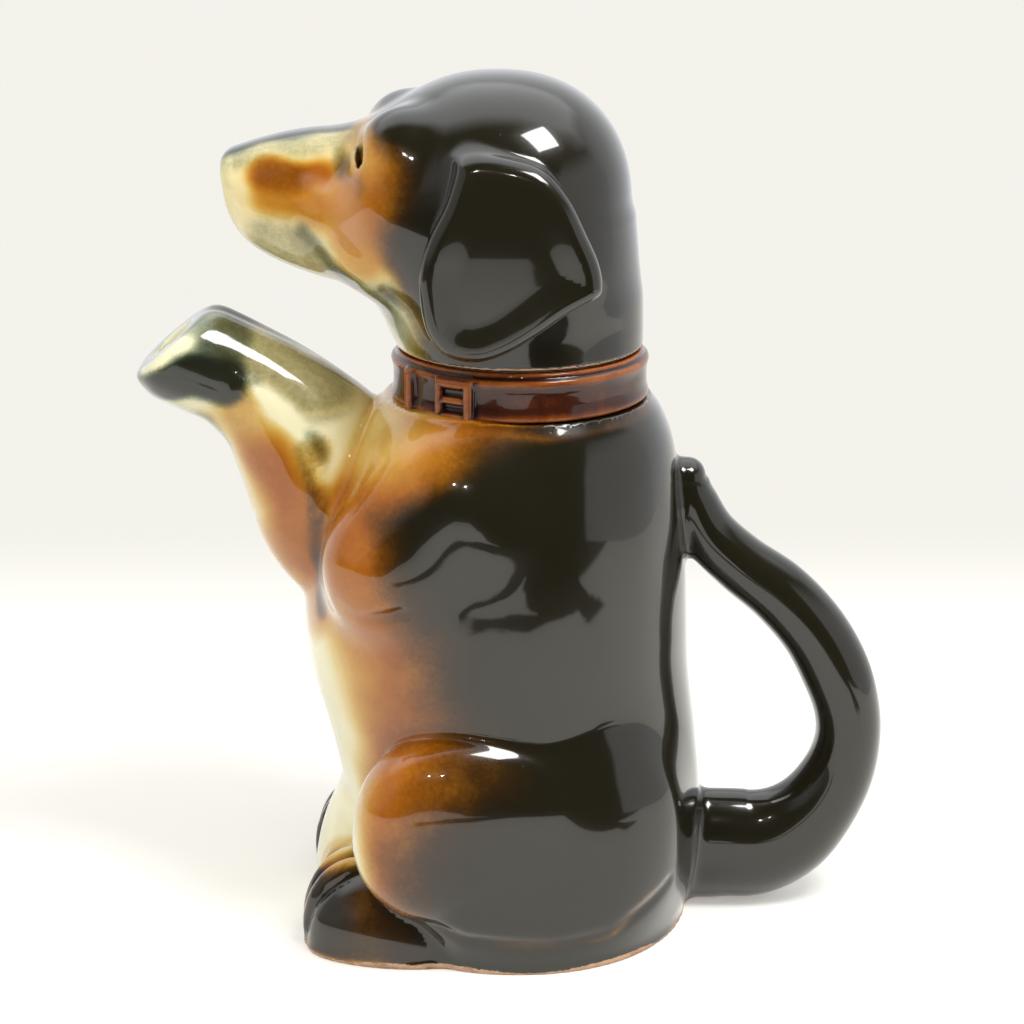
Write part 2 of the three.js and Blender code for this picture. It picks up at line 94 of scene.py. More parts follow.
def soft_min(a: Array, b: Array, reach: float) -> Array:
    """The smaller of two distances, with the crease between them filled."""
    near = np.maximum(reach - np.abs(a - b), 0.0) / reach
    return np.minimum(a, b) - near * near * reach / 4.0


def soft_max(a: Array, b: Array, reach: float) -> Array:
    """The larger of two distances, with the edge between them rounded."""
    return -soft_min(-a, -b, reach)


def smooth_step(value: Array, low: float | Array, high: float | Array) -> Array:
    """A smooth ramp from 0 at low to 1 at high."""
    t = np.clip((value - low) / (high - low), 0.0, 1.0)
    return t * t * (3.0 - 2.0 * t)


def smooth_rows(rows: Array, per_span: int = 24) -> Array:
    """Runs a smooth curve through rows of numbers.

    Args:
        rows: One row for each station.
        per_span: How many rows are made between two stations.

    Returns:
        The dense rows.
    """
    padded = np.vstack([2 * rows[0] - rows[1], rows, 2 * rows[-1] - rows[-2]])
    spans = []
    t = np.linspace(0.0, 1.0, per_span, endpoint=False)[:, None]
    for before, start, end, after in zip(padded, padded[1:], padded[2:], padded[3:]):
        into, out = (end - before) / 2.0, (after - start) / 2.0
        bend = 3.0 * (end - start) - 2.0 * into - out
        twist = 2.0 * (start - end) + into + out
        spans.append(start + t * (into + t * (bend + t * twist)))
    return np.vstack([*spans, rows[-1:]])


def rows_at(place: Array, places: Array, table: Array) -> Array:
    """A table's rows at places between its own."""
    return np.stack([np.interp(place, places, column) for column in table.T], axis=1)


def spun(a: Array, b: Array, angle: float) -> tuple[Array, Array]:
    """Turns pairs of coordinates in their plane, from the first axis towards the second."""
    c, s = math.cos(angle), math.sin(angle)
    return c * a - s * b, s * a + c * b


def oval_distance(offsets: Sequence[Array], radii: Sequence[Array], power: float, inner: Array) -> Array:
    """How far points lie outside an oval, along the line from its middle.

    Args:
        offsets: The points' offsets from the middle, for each of the oval's axes.
        radii: The oval's radius along each of them.
        power: How boxy it is. 2 is a true oval.
        inner: How deep its middle lies.

    Returns:
        The distances, below zero inside.
    """
    share = sum(np.abs(offset / radius) ** power for offset, radius in zip(offsets, radii)) ** (1.0 / power)
    reach = np.sqrt(sum(offset**2 for offset in offsets))
    return np.where(share < NEAR_MIDDLE, -inner, reach - reach / np.maximum(share, NEAR_MIDDLE))


def rounded_corner(a: Array, b: Array, rounding: float) -> Array:
    """The distance of a bar whose section has two straight sides and a rounded corner between them."""
    a, b = a + rounding, b + rounding
    return np.minimum(np.maximum(a, b), 0.0) + np.hypot(np.maximum(a, 0.0), np.maximum(b, 0.0)) - rounding


class Form:
    """A lump of clay, as the distance from its surface: below zero inside it."""

    def distance(self, points: Array) -> Array:
        """The distance of each point from the surface, in millimetres.

        Args:
            points: An N by 3 array from the neck's axis, already folded onto the near side.

        Returns:
            N distances.
        """
        raise NotImplementedError


@dataclass(frozen=True)
class Egg(Form):
    """An egg of clay.

    Attributes:
        centre: Its middle.
        radii: Its half lengths along X, Y and Z.
        tilt: How far its back end dips, in radians.
        swing: How far its back end is drawn in towards the middle plane, in radians.
        power: How boxy it is. 2 is a true egg.
    """

    centre: Point
    radii: Point
    tilt: float = 0.0
    swing: float = 0.0
    power: float = 2.0

    def distance(self, points: Array) -> Array:
        """See Form.distance."""
        x, y, z = (points - np.array(self.centre)).T
        x, y = spun(x, y, -self.swing)
        x, z = spun(x, z, self.tilt)
        radii = np.array(self.radii)
        share = np.abs(np.stack([x, y, z], axis=1)) / radii
        size = np.maximum((share**self.power).sum(axis=1) ** (1.0 / self.power), TINY)
        steep = np.linalg.norm((share / size[:, None]) ** (self.power - 1.0) / radii, axis=1)
        return (size - 1.0) / np.maximum(steep, TINY)


@dataclass(frozen=True)
class Stack(Form):
    """Level ovals stacked up.

    Attributes:
        rows: The ovals, as height, reach forward, reach back and half width.
        power: How boxy they are. 2 is a true oval.
        grow: How far the stack is grown all round, or shrunk where it is below zero.
    """

    rows: Sequence[Sequence[float]]
    power: float = 2.0
    grow: float = 0.0

    def distance(self, points: Array) -> Array:
        """See Form.distance."""
        dense = smooth_rows(np.array(self.rows, dtype=float))
        heights = dense[:, 0]
        z = np.clip(points[:, 2], heights[0], heights[-1])
        front, back, width = (rows_at(z, heights, dense[:, 1:]) + self.grow).T
        x = points[:, 0] - (back - front) / 2.0
        side = oval_distance((x, points[:, 1]), ((front + back) / 2.0, width), self.power, width)
        over = np.maximum(heights[0] - self.grow - points[:, 2], points[:, 2] - heights[-1] - self.grow)
        return np.where(over > 0.0, np.hypot(np.maximum(side, 0.0), over), side)


@dataclass(frozen=True)
class Limb(Form):
    """Ovals along a line in the middle plane.

    Attributes:
        rows: The ovals, as x, z, half height and half width.
        drop: How far the widest line lies off the middle, as a share of the half height, on the side to the
            left of the line's way.
    """

    rows: Sequence[Sequence[float]]
    drop: float = 0.0

    def distance(self, points: Array) -> Array:
        """See Form.distance."""
        rounds, ease = 3, 0.9
        dense = smooth_rows(np.array(self.rows, dtype=float), per_span=12)
        line = dense[:, :2]
        heading = np.gradient(line, axis=0)
        heading /= np.linalg.norm(heading, axis=1, keepdims=True)
        along = np.concatenate([[0.0], np.cumsum(np.linalg.norm(np.diff(line, axis=0), axis=1))])
        flat = points[:, [0, 2]]
        nearest = np.empty(len(points), dtype=int)
        for start in range(0, len(points), BATCH):
            part = flat[start : start + BATCH]
            gap = (part[:, :1] - line[None, :, 0]) ** 2 + (part[:, 1:] - line[None, :, 1]) ** 2
            nearest[start : start + BATCH] = gap.argmin(axis=1)
        s = along[nearest]
        for _ in range(rounds):
            at, to = rows_at(s, along, line), rows_at(s, along, heading)
            s = np.clip(s + ((flat - at) * to).sum(axis=1) * ease, 0.0, along[-1])
        at, to = rows_at(s, along, line), rows_at(s, along, heading)
        off = flat - at
        past = (off * to).sum(axis=1)
        tall, wide = rows_at(s, along, dense[:, 2:]).T
        up = off[:, 0] * -to[:, 1] + off[:, 1] * to[:, 0] - self.drop * tall
        end = np.minimum(tall, wide)
        tall = tall * np.where(up > 0.0, 1.0 - self.drop, 1.0 + self.drop)
        return oval_distance((up, points[:, 1], past), (tall, wide, end), 2.0, end)


@dataclass(frozen=True)
class Muzzle(Form):
    """A snout: rounded boxes across X, cut off at the nose.

    Attributes:
        rows: The boxes from the nose back, as x, top, bottom and half width.
        power: How boxy they are.
        tip: Where the cut at the nose passes, as x and z.
        lean: How far the cut leans back for each millimetre down.
        rounding: How far the cut's edge is rounded.
    """

    rows: Sequence[Sequence[float]]
    power: float
    tip: tuple[float, float]
    lean: float
    rounding: float

    def distance(self, points: Array) -> Array:
        """See Form.distance."""
        dense = smooth_rows(np.array(self.rows, dtype=float), per_span=12)
        x = np.clip(points[:, 0], dense[0, 0], dense[-1, 0])
        top, bottom, wide = rows_at(x, dense[:, 0], dense[:, 1:]).T
        up, tall = points[:, 2] - (top + bottom) / 2.0, (top - bottom) / 2.0
        side = oval_distance((up, points[:, 1]), (tall, wide), self.power, tall)
        past = (self.tip[0] - points[:, 0]) + self.lean * (self.tip[1] - points[:, 2])
        past = np.maximum(past / math.hypot(1.0, self.lean), points[:, 0] - dense[-1, 0])
        return soft_max(side, past, self.rounding)


@dataclass(frozen=True)
class Blend(Form):
    """Forms joined in turn, each with the crease to the ones before it filled over its own reach."""

    forms: Sequence[tuple[Form, float]]

    def distance(self, points: Array) -> Array:
        """See Form.distance."""
        total = None
        for form, reach in self.forms:
            value = form.distance(points)
            total = value if total is None else soft_min(total, value, reach)
        return total


@dataclass(frozen=True)
class Groove:
    """A soft groove, or a ridge where its depth is below zero, along a line of points.

    Attributes:
        path: The corners of the line.
        width: How far it reaches to either side.
        depth: How deep it is.
        spread: How much distance along Y counts against the other two.
    """

    path: Sequence[Point]
    width: float
    depth: float
    spread: float = 1.0

    def added(self, points: Array) -> Array:
        """What the groove adds to the distance at each point."""
        away = line_distance(points, self.path, self.spread)
        return self.depth * np.exp(-((away / self.width) ** 2))


def grooved(total: Array, points: Array, grooves: Sequence[Groove]) -> Array:
    """Works grooves and ridges into a skin.

    Args:
        total: The skin's distance at each point.
        points: The points.
        grooves: The grooves.

    Returns:
        The new distances.
    """
    for groove in grooves:
        total = total + groove.added(points)
    return total


def line_distance(points: Array, path: Sequence[Point], spread: float = 1.0) -> Array:
    """The distance of each point from a line of straight stretches.

    Args:
        points: An N by 3 array.
        path: The line's corners.
        spread: How much distance along Y counts against the other two.

    Returns:
        N distances.
    """
    squash = np.array([1.0, spread, 1.0])
    points = points * squash
    corners = np.array(path, dtype=float) * squash
    best = np.full(len(points), np.inf)
    for start, end in zip(corners, corners[1:]):
        way = end - start
        t = np.clip((points - start) @ way / max(way @ way, LEAST), 0.0, 1.0)
        best = np.minimum(best, np.linalg.norm(points - start - t[:, None] * way, axis=1))
    return best


@dataclass(frozen=True)
class Flap(Form):
    """An ear: a rounded slab on a closed outline in the XZ plane, dished on its outer face.

    Attributes:
        outline: The corners of the outline, as x and z, which a smooth closed curve runs through.
        plane: Where the slab's middle lies along Y at the middle of the outline.
        thickness: The slab's thickness.
        rounding: The radius of its edge.
        dish: How far the outer face sinks inside the rolled edge.
        flare: How far the slab leans out towards its tip.
        wrap: How much its front and back edges curl in towards the skull.
        curl: How much its top and its tip do.
        margin: How far round the outline the slab is worked out in full.
        breadth: How far from its middle along Y it is.
        roll: Between which distances from the rim the dish sinks in.
        root: Between which heights over the middle the dish ends.
    """

    outline: Sequence[tuple[float, float]]
    plane: float
    thickness: float
    rounding: float
    dish: float
    flare: float
    wrap: float
    curl: tuple[float, float]
    margin: float = 9.0
    breadth: float = 16.0
    roll: tuple[float, float] = (1.4, 9.0)
    root: tuple[float, float] = (12.0, 21.0)

    def distance(self, points: Array) -> Array:
        """See Form.distance."""
        corners = np.array(self.outline, dtype=float)
        lowest, highest = corners.min(axis=0), corners.max(axis=0)
        middle = (lowest + highest) / 2.0
        beyond = np.abs(points[:, [0, 2]] - middle) - ((highest - lowest) / 2.0 + self.margin)
        apart = np.maximum(beyond, 0.0)
        aside = np.abs(points[:, 1] - self.plane) >= self.breadth
        result = np.hypot(apart[:, 0], apart[:, 1]) + self.margin
        near = (beyond < 0.0).all(axis=1) & ~aside
        if not near.any():
            return result
        across, up = (points[near][:, [0, 2]] - middle).T
        rim = self.rim(points[near][:, [0, 2]])
        bent = self.plane + self.flare * up + self.wrap * across**2 + np.where(up > 0.0, *self.curl) * up**2
        off = points[near][:, 1] - bent
        sunk = smooth_step(-rim, *self.roll) * (1.0 - smooth_step(up, *self.root)) * (off < 0.0)
        face = np.abs(off) - (self.thickness / 2.0 - self.dish * sunk)
        result[near] = rounded_corner(rim, face, self.rounding)
        return result

    def rim(self, spots: Array) -> Array:
        """The distance from the outline, below zero inside it.

        Args:
            spots: An N by 2 array of x and z.

        Returns:
            N distances.
        """
        corners = np.array(self.outline, dtype=float)
        per_span = 6
        edge = smooth_rows(np.vstack([corners[-1:], corners, corners[:2]]), per_span)[per_span:-per_span]
        best = np.full(len(spots), np.inf)
        inside = np.zeros(len(spots), dtype=bool)
        for start, end in zip(edge, np.roll(edge, -1, axis=0)):
            way = end - start
            length = way @ way
            if length < LEAST:
                continue
            t = np.clip((spots - start) @ way / length, 0.0, 1.0)
            best = np.minimum(best, np.hypot(*(spots - start - t[:, None] * way).T))
            if start[1] != end[1]:
                crosses = (start[1] > spots[:, 1]) != (end[1] > spots[:, 1])
                at = start[0] + (spots[:, 1] - start[1]) * way[0] / way[1]
                inside ^= crosses & (spots[:, 0] < at)
        return np.where(inside, -best, best)


def ripple(points: Array, pitch: float, seed: int) -> Array:
    """A smooth random field, for the unevenness of hand-sprayed glaze.

    Args:
        points: An N by 3 array.
        pitch: The size of its patches, in millimetres.
        seed: Which field.

    Returns:
        N numbers, mostly between -1 and 1.
    """
    chance = np.random.default_rng(seed)
    total = np.zeros(len(points))
    waves, evening = 14, 1.6
    for _ in range(waves):
        way = chance.normal(size=3)
        way *= 2.0 * math.pi / (pitch * chance.uniform(0.7, 1.9) * np.linalg.norm(way))
        total += np.sin(points @ way + chance.uniform(0.0, 2.0 * math.pi))
    return total / math.sqrt(waves / 2.0) / evening


# The castings' meshes


@dataclass
class Skin:
    """A meshed surface.

    Attributes:
        points: Its vertices, in millimetres from the neck's axis.
        quads: Its faces.
        normals: The outward direction at each vertex.
        bend: How hollow (below zero) or proud (above zero) the surface is at each vertex.
    """

    points: Array
    quads: Array
    normals: Array
    bend: Array


@dataclass(frozen=True)
class Sculptor:
    """Meshes a distance field.

    Attributes:
        step: The spacing of the mesh, in millimetres.
        coarse: How many steps one coarse block takes in.
        slack: How far a block's distance may be off, as a share of its size.
        settle_reach: How far apart the samples are that draw the vertices onto the surface.
        normal_reach: How far apart those for the normals are.
        bend_reach: How far apart those for the bend are.
        least_steep: The least slope, squared, that a vertex is drawn by.
    """

    step: float = 1.0
    coarse: int = 4
    slack: float = 1.7
    settle_reach: float = 0.15
    normal_reach: float = 0.35
    bend_reach: float = 1.1
    least_steep: float = 0.2

    def sample(self, field_at: Callable[[Array], Array], low: Array, high: Array) -> tuple[Array, Array]:
        """Fills a grid with distances, in full only near the surface.

        Args:
            field_at: The distance field.
            low: The grid's lowest corner.
            high: Its highest corner.

        Returns:
            The grid's origin and its distances.
        """
        size = np.ceil((high - low) / (self.step * self.coarse)).astype(int) + 1
        pitch = self.step * self.coarse
        axes = [low[i] + pitch * (np.arange(size[i]) + 0.5) for i in range(3)]
        centres = np.stack(np.meshgrid(*axes, indexing="ij"), axis=-1).reshape(-1, 3)
        rough = field_at(centres).reshape(size)
        grid = np.repeat(np.repeat(np.repeat(rough, self.coarse, 0), self.coarse, 1), self.coarse, 2)
        near = np.argwhere(np.abs(rough) < pitch * HALF_DIAGONAL * self.slack)
        inner = np.stack(np.meshgrid(*[np.arange(self.coarse)] * 3, indexing="ij"), axis=-1).reshape(-1, 3)
        cells = (near[:, None, :] * self.coarse + inner[None]).reshape(-1, 3)
        origin = low + self.step * 0.5
        grid[tuple(cells.T)] = field_at(origin + cells * self.step)
        return origin, grid

    def net(self, origin: Array, grid: Array) -> tuple[Array, Array]:
        """Runs a net of quads round the grid's zero surface.

        Args:
            origin: Where the grid's first point lies.
            grid: The distances.

        Returns:
            The net's vertices and faces.
        """
        inside = grid < 0.0
        shape = np.array(grid.shape) - 1
        corners = np.array([[i, j, k] for i in (0, 1) for j in (0, 1) for k in (0, 1)])
        count = np.zeros(shape, dtype=np.int8)
        for i, j, k in corners:
            count += inside[i : i + shape[0], j : j + shape[1], k : k + shape[2]]
        cells = np.argwhere((count > 0) & (count < 8))
        total, hits = np.zeros((len(cells), 3)), np.zeros(len(cells))
        for a in corners:
            for axis in range(3):
                if a[axis]:
                    continue
                b = a + np.eye(3, dtype=int)[axis]
                fa, fb = grid[tuple((cells + a).T)], grid[tuple((cells + b).T)]
                crossed = (fa < 0.0) != (fb < 0.0)
                share = fa / np.where(crossed, fa - fb, 1.0)
                total += np.where(crossed[:, None], a + share[:, None] * (b - a), 0.0)
                hits += crossed
        points = origin + self.step * (cells + total / hits[:, None])
        index = np.full(shape, -1)
        index[tuple(cells.T)] = np.arange(len(cells))
        quads = []
        for axis in range(3):
            one, two = [i for i in range(3) if i != axis]
            spans = [slice(1, shape[i]) for i in range(3)]
            spans[axis] = slice(0, shape[axis])
            low = inside[tuple(spans)]
            spans[axis] = slice(1, shape[axis] + 1)
            high = inside[tuple(spans)]
            edges = np.argwhere(low != high)
            leaving = low[tuple(edges.T)]
            edges = edges + np.array([0 if i == axis else 1 for i in range(3)])
            back_one, back_two = np.eye(3, dtype=int)[one], np.eye(3, dtype=int)[two]
            ring = [edges - back_one - back_two, edges - back_two, edges, edges - back_one]
            found = np.stack([index[tuple(r.T)] for r in ring], axis=1)
            flip = leaving if axis != 1 else ~leaving
            found[~flip] = found[~flip][:, ::-1]
            quads.append(found)
        return points, np.vstack(quads)

    def slope(self, field_at: Callable[[Array], Array], points: Array, reach: float) -> tuple[Array, Array]:
        """The field's slope and bend at some points.

        Args:
            field_at: The distance field.
            points: An N by 3 array.
            reach: How far apart the samples are.

        Returns:
            N slopes and N bends.
        """
        here = field_at(points)
        slopes, bend = np.zeros_like(points), -6.0 * here
        for axis in range(3):
            off = np.eye(3)[axis] * reach
            ahead, behind = field_at(points + off), field_at(points - off)
            slopes[:, axis] = (ahead - behind) / (2.0 * reach)
            bend += ahead + behind
        return slopes, bend / reach**2

    def cast(self, field_at: Callable[[Array], Array], low: Point, high: Point) -> Skin:
        """Meshes the field inside a box.

        Args:
            field_at: The distance field.
            low: The box's lowest corner.
            high: Its highest corner.

        Returns:
            The skin.
        """
        points, quads = self.net(*self.sample(field_at, np.array(low), np.array(high)))
        for _ in range(2):
            slopes, _ = self.slope(field_at, points, self.settle_reach)
            steep = np.maximum((slopes**2).sum(axis=1, keepdims=True), self.least_steep)
            move = field_at(points)[:, None] * slopes / steep
            points = points - np.clip(move, -0.5 * self.step, 0.5 * self.step)
        slopes, _ = self.slope(field_at, points, self.normal_reach)
        normals = slopes / np.maximum(np.linalg.norm(slopes, axis=1, keepdims=True), LEAST)
        _, bend = self.slope(field_at, points, self.bend_reach)
        return Skin(points, quads, normals, bend)


def sculptor(step: float) -> Sculptor:
    return Sculptor(step)


# Spraying


class Layer(Enum):
    """The coats that the glazes are sprayed in, and the marks that firing leaves. The rose mark also carries
    a painted pink reflection on the snout.
    """

    AMBER = "amber"
    SMOKE = "smoke"
    ROSE = "rose"
    BARE = "bare"


@dataclass(frozen=True)
class Wash:
    """A coat that thickens from front to back.

    Attributes:
        layer: The coat.
        rows: For each height, where along X the coat starts and where it is full.
        depth: How thick it is where it is full.
    """

    layer: Layer
    rows: Sequence[tuple[float, float, float]]
    depth: float = 1.0

    def spray(self, points: Array, coats: dict[Layer, Array]) -> None:
        """Adds the wash to its coat.

        Args:
            points: The skin's vertices, folded onto the near side.
            coats: The thickness of each coat at each vertex.
        """
        heights, start, full = np.array(self.rows, dtype=float).T
        low = np.interp(points[:, 2], heights, start)
        high = np.interp(points[:, 2], heights, full)
        share = smooth_step(points[:, 0], low, high)
        coats[self.layer] = np.maximum(coats[self.layer], self.depth * share)


@dataclass(frozen=True)
class Stroke:
    """One pass of the spray gun, or of a sponge where its depth is below zero.

    Attributes:
        layer: The coat.
        path: The corners of the line that it follows.
        radius: How far from the line it is full.
        fade: How much further it fades out.
        depth: How thick it is. A sponge takes that share away.
        spread: How much distance along Y counts against the other two.
    """

    layer: Layer
    path: Sequence[Point]
    radius: float
    fade: float
    depth: float = 1.0
    spread: float = 1.0

    def spray(self, points: Array, coats: dict[Layer, Array]) -> None:
        """Adds the stroke to its coat.

        Args:
            points: The skin's vertices, folded onto the near side.
            coats: The thickness of each coat at each vertex.
        """
        away = line_distance(points, self.path, self.spread)
        near = 1.0 - smooth_step(away, self.radius, self.radius + self.fade)
        coat = coats[self.layer]
        if self.depth < 0.0:
            coats[self.layer] = coat * (1.0 + self.depth * near)
        else:
            coats[self.layer] = 1.0 - (1.0 - np.minimum(coat, 1.0)) * (1.0 - self.depth * near)


@dataclass(frozen=True)
class Band:
    """A level line all round, where a coat has run thin over an edge.

    Attributes:
        layer: The coat.
        height: Where the line lies.
        reach: How far it fades out above and below.
        share: How much of the coat it takes away.
    """

    layer: Layer
    height: float
    reach: float
    share: float

    def spray(self, points: Array, coats: dict[Layer, Array]) -> None:
        """Thins the coat along the line."""
        coats[self.layer] *= 1.0 - self.share * np.exp(-(((points[:, 2] - self.height) / self.reach) ** 2))


Pass = Wash | Stroke | Band


def strokes(layer: Layer, *rows: Sequence) -> tuple[Stroke, ...]:
    """Several strokes of one coat."""
    return tuple(Stroke(layer, *row) for row in rows)


def drift(points: Array, pitch: float, seeds: Sequence[int]) -> Array:
    """A smooth random offset for each point, by which a hand-held spray gun wanders."""
    return np.stack([ripple(points, pitch, seed) for seed in seeds], axis=1)


def spray_all(points: Array, passes: Sequence[Pass]) -> dict[Layer, Array]:
    """Sprays every pass in turn.

    Args:
        points: The skin's vertices, folded onto the near side.
        passes: The passes.

    Returns:
        The thickness of each coat at each vertex.
    """
    coats = {layer: np.zeros(len(points)) for layer in Layer}
    for sprayed in passes:
        sprayed.spray(points, coats)
    return coats


def line_inside(coats: dict[Layer, Array], inside: Array, smoke: float, amber: float) -> None:
    """Gives a hollow an even, thin glaze.

    Args:
        coats: The thickness of each coat at each vertex, which is changed.
        inside: Which vertices are inside.
        smoke: How thick the black coat is there.
        amber: How thick the amber coat is.
    """
    coats[Layer.SMOKE][inside] = smoke
    coats[Layer.AMBER][inside] = amber
    coats[Layer.ROSE][inside] = 0.0


def named_masks(coats: dict[Layer, Array], bend: Array, strength: float) -> dict[str, Array]:
    """The masks that a sprayed piece's material reads.

    Args:
        coats: The thickness of each coat at each vertex.
        bend: How hollow or proud the skin is there.
        strength: How strongly that counts.

    Returns:
        The masks by name.
    """
    masks = {layer.value: coat for layer, coat in coats.items()}
    masks["proud"] = np.clip(bend * strength, -1.0, 1.0)
    return masks


# Meshes in Blender


def folded(points: Array) -> Array:
    """Brings points onto the near side, where the clay is described."""
    return points * np.array([1.0, 0.0, 1.0]) - np.abs(points) * np.array([0.0, 1.0, 0.0])


def add_object(name: str, data: bpy.types.ID) -> bpy.types.Object:
    """Adds an object to the scene.

    Args:
        name: Its name.
        data: Its mesh, light or camera.

    Returns:
        The object.
    """
    made = bpy.data.objects.new(name, data)
    bpy.context.scene.collection.objects.link(made)
    return made


def make_piece(
    name: str, skin: Skin, quads: Array, masks: dict[str, Array], axis_x: float
) -> bpy.types.Object:
    """Makes an object from some of a skin's faces.

    Args:
        name: The object's name.
        skin: The skin, in millimetres from the neck's axis.
        quads: The faces to take.
        masks: Numbers at each of the skin's vertices, by name.
        axis_x: Where the neck's axis lies along X in the frame.

    Returns:
        The object, in metres, smooth and with the field's own normals.
    """
    used, faces = np.unique(quads, return_inverse=True)
    faces = faces.reshape(quads.shape)
    points = (skin.points[used] + np.array([axis_x, 0.0, 0.0])) * MM
    mesh = bpy.data.meshes.new(name)
    mesh.vertices.add(len(points))
    mesh.vertices.foreach_set("co", points.astype(np.float32).ravel())
    mesh.loops.add(faces.size)
    mesh.loops.foreach_set("vertex_index", faces.astype(np.int32).ravel())
    mesh.polygons.add(len(faces))
    mesh.polygons.foreach_set("loop_start", np.arange(0, faces.size, 4, dtype=np.int32))
    mesh.polygons.foreach_set("loop_total", np.full(len(faces), 4, dtype=np.int32))
    mesh.polygons.foreach_set("use_smooth", np.ones(len(faces), dtype=bool))
    mesh.update(calc_edges=True)
    mesh.validate()
    mesh.normals_split_custom_set_from_vertices(skin.normals[used].astype(np.float32).tolist())
    for mask, values in masks.items():
        layer = mesh.attributes.new(mask, "FLOAT", "POINT")
        layer.data.foreach_set("value", values[used].astype(np.float32))
    return add_object(name, mesh)


def turned(
    name: str, profile: Sequence[tuple[float, float]], axis_x: float, steps: int = 144
) -> bpy.types.Object:
    """Turns a closed profile round the neck's axis.

    Args:
        name: The object's name.
        profile: Its corners, as radius and height in millimetres, in order.
        axis_x: Where the neck's axis lies along X in the frame.
        steps: How many faces go round.

    Returns:
        The object, in metres.
    """
    outline = np.array(profile, dtype=float)
    angles = np.linspace(0.0, 2.0 * math.pi, steps, endpoint=False)
    rings = [[(axis_x + r * math.cos(a), r * math.sin(a), z) for r, z in outline] for a in angles]
    count = len(outline)
    faces = []
    for i in range(steps):
        j = (i + 1) % steps
        for k in range(count):
            m = (k + 1) % count
            faces.append((i * count + k, j * count + k, j * count + m, i * count + m))
    mesh = bpy.data.meshes.new(name)
    mesh.from_pydata([tuple(c * MM for c in p) for ring in rings for p in ring], [], faces)
    mesh.update()
    mesh.shade_smooth()
    return add_object(name, mesh)


# Shader wiring


class Value:
    """A number from a socket. Python's operators add Math nodes to it."""

    def __init__(self, wiring: "Wiring", socket: bpy.types.NodeSocket) -> None:
        """Keeps the socket."""
        self.wiring = wiring
        self.socket = socket

    def math(self, operation: str, *others: "Value | float", first: bool = True) -> "Value":
        """Adds a Math node.

        Args:
            operation: The node's operation.
            others: Its other inputs.
            first: Whether this value comes first.

        Returns:
            The node's value.
        """
        inputs = [self, *others] if first else [*others, self]
        node = self.wiring.add("ShaderNodeMath", {"operation": operation}, dict(enumerate(inputs)))
        return Value(self.wiring, node.outputs[0])

    def __add__(self, other: "Value | float") -> "Value":
        """The sum."""
        return self.math("ADD", other)

    __radd__ = __add__

    def __sub__(self, other: "Value | float") -> "Value":
        """The difference."""
        return self.math("SUBTRACT", other)

    def __rsub__(self, other: float) -> "Value":
        """The difference, from the right."""
        return self.math("SUBTRACT", other, first=False)

    def __mul__(self, other: "Value | float") -> "Value":
        """The product."""
        return self.math("MULTIPLY", other)

    __rmul__ = __mul__

    def above(self, low: float, high: float) -> "Value":
        """A smooth ramp from 0 at low to 1 at high.

        Args:
            low: Where the ramp starts.
            high: Where it ends.

        Returns:
            The ramp's value.
        """
        settings = {"interpolation_type": "SMOOTHSTEP", "clamp": True}
        node = self.wiring.add("ShaderNodeMapRange", settings, {0: self, 1: low, 2: high})
        return Value(self.wiring, node.outputs[0])

    def held(self) -> "Value":
        """The value kept between 0 and 1."""
        return self.math("MAXIMUM", 0.0).math("MINIMUM", 1.0)

    def below(self, low: float, high: float) -> "Value":
        """A smooth ramp from 1 at low to 0 at high."""
        return 1.0 - self.above(low, high)

    def either(self, other: "Value") -> "Value":
        """The larger of two values."""
        return self.math("MAXIMUM", other)


Socketed = Value | bpy.types.NodeSocket | float | Sequence[float]


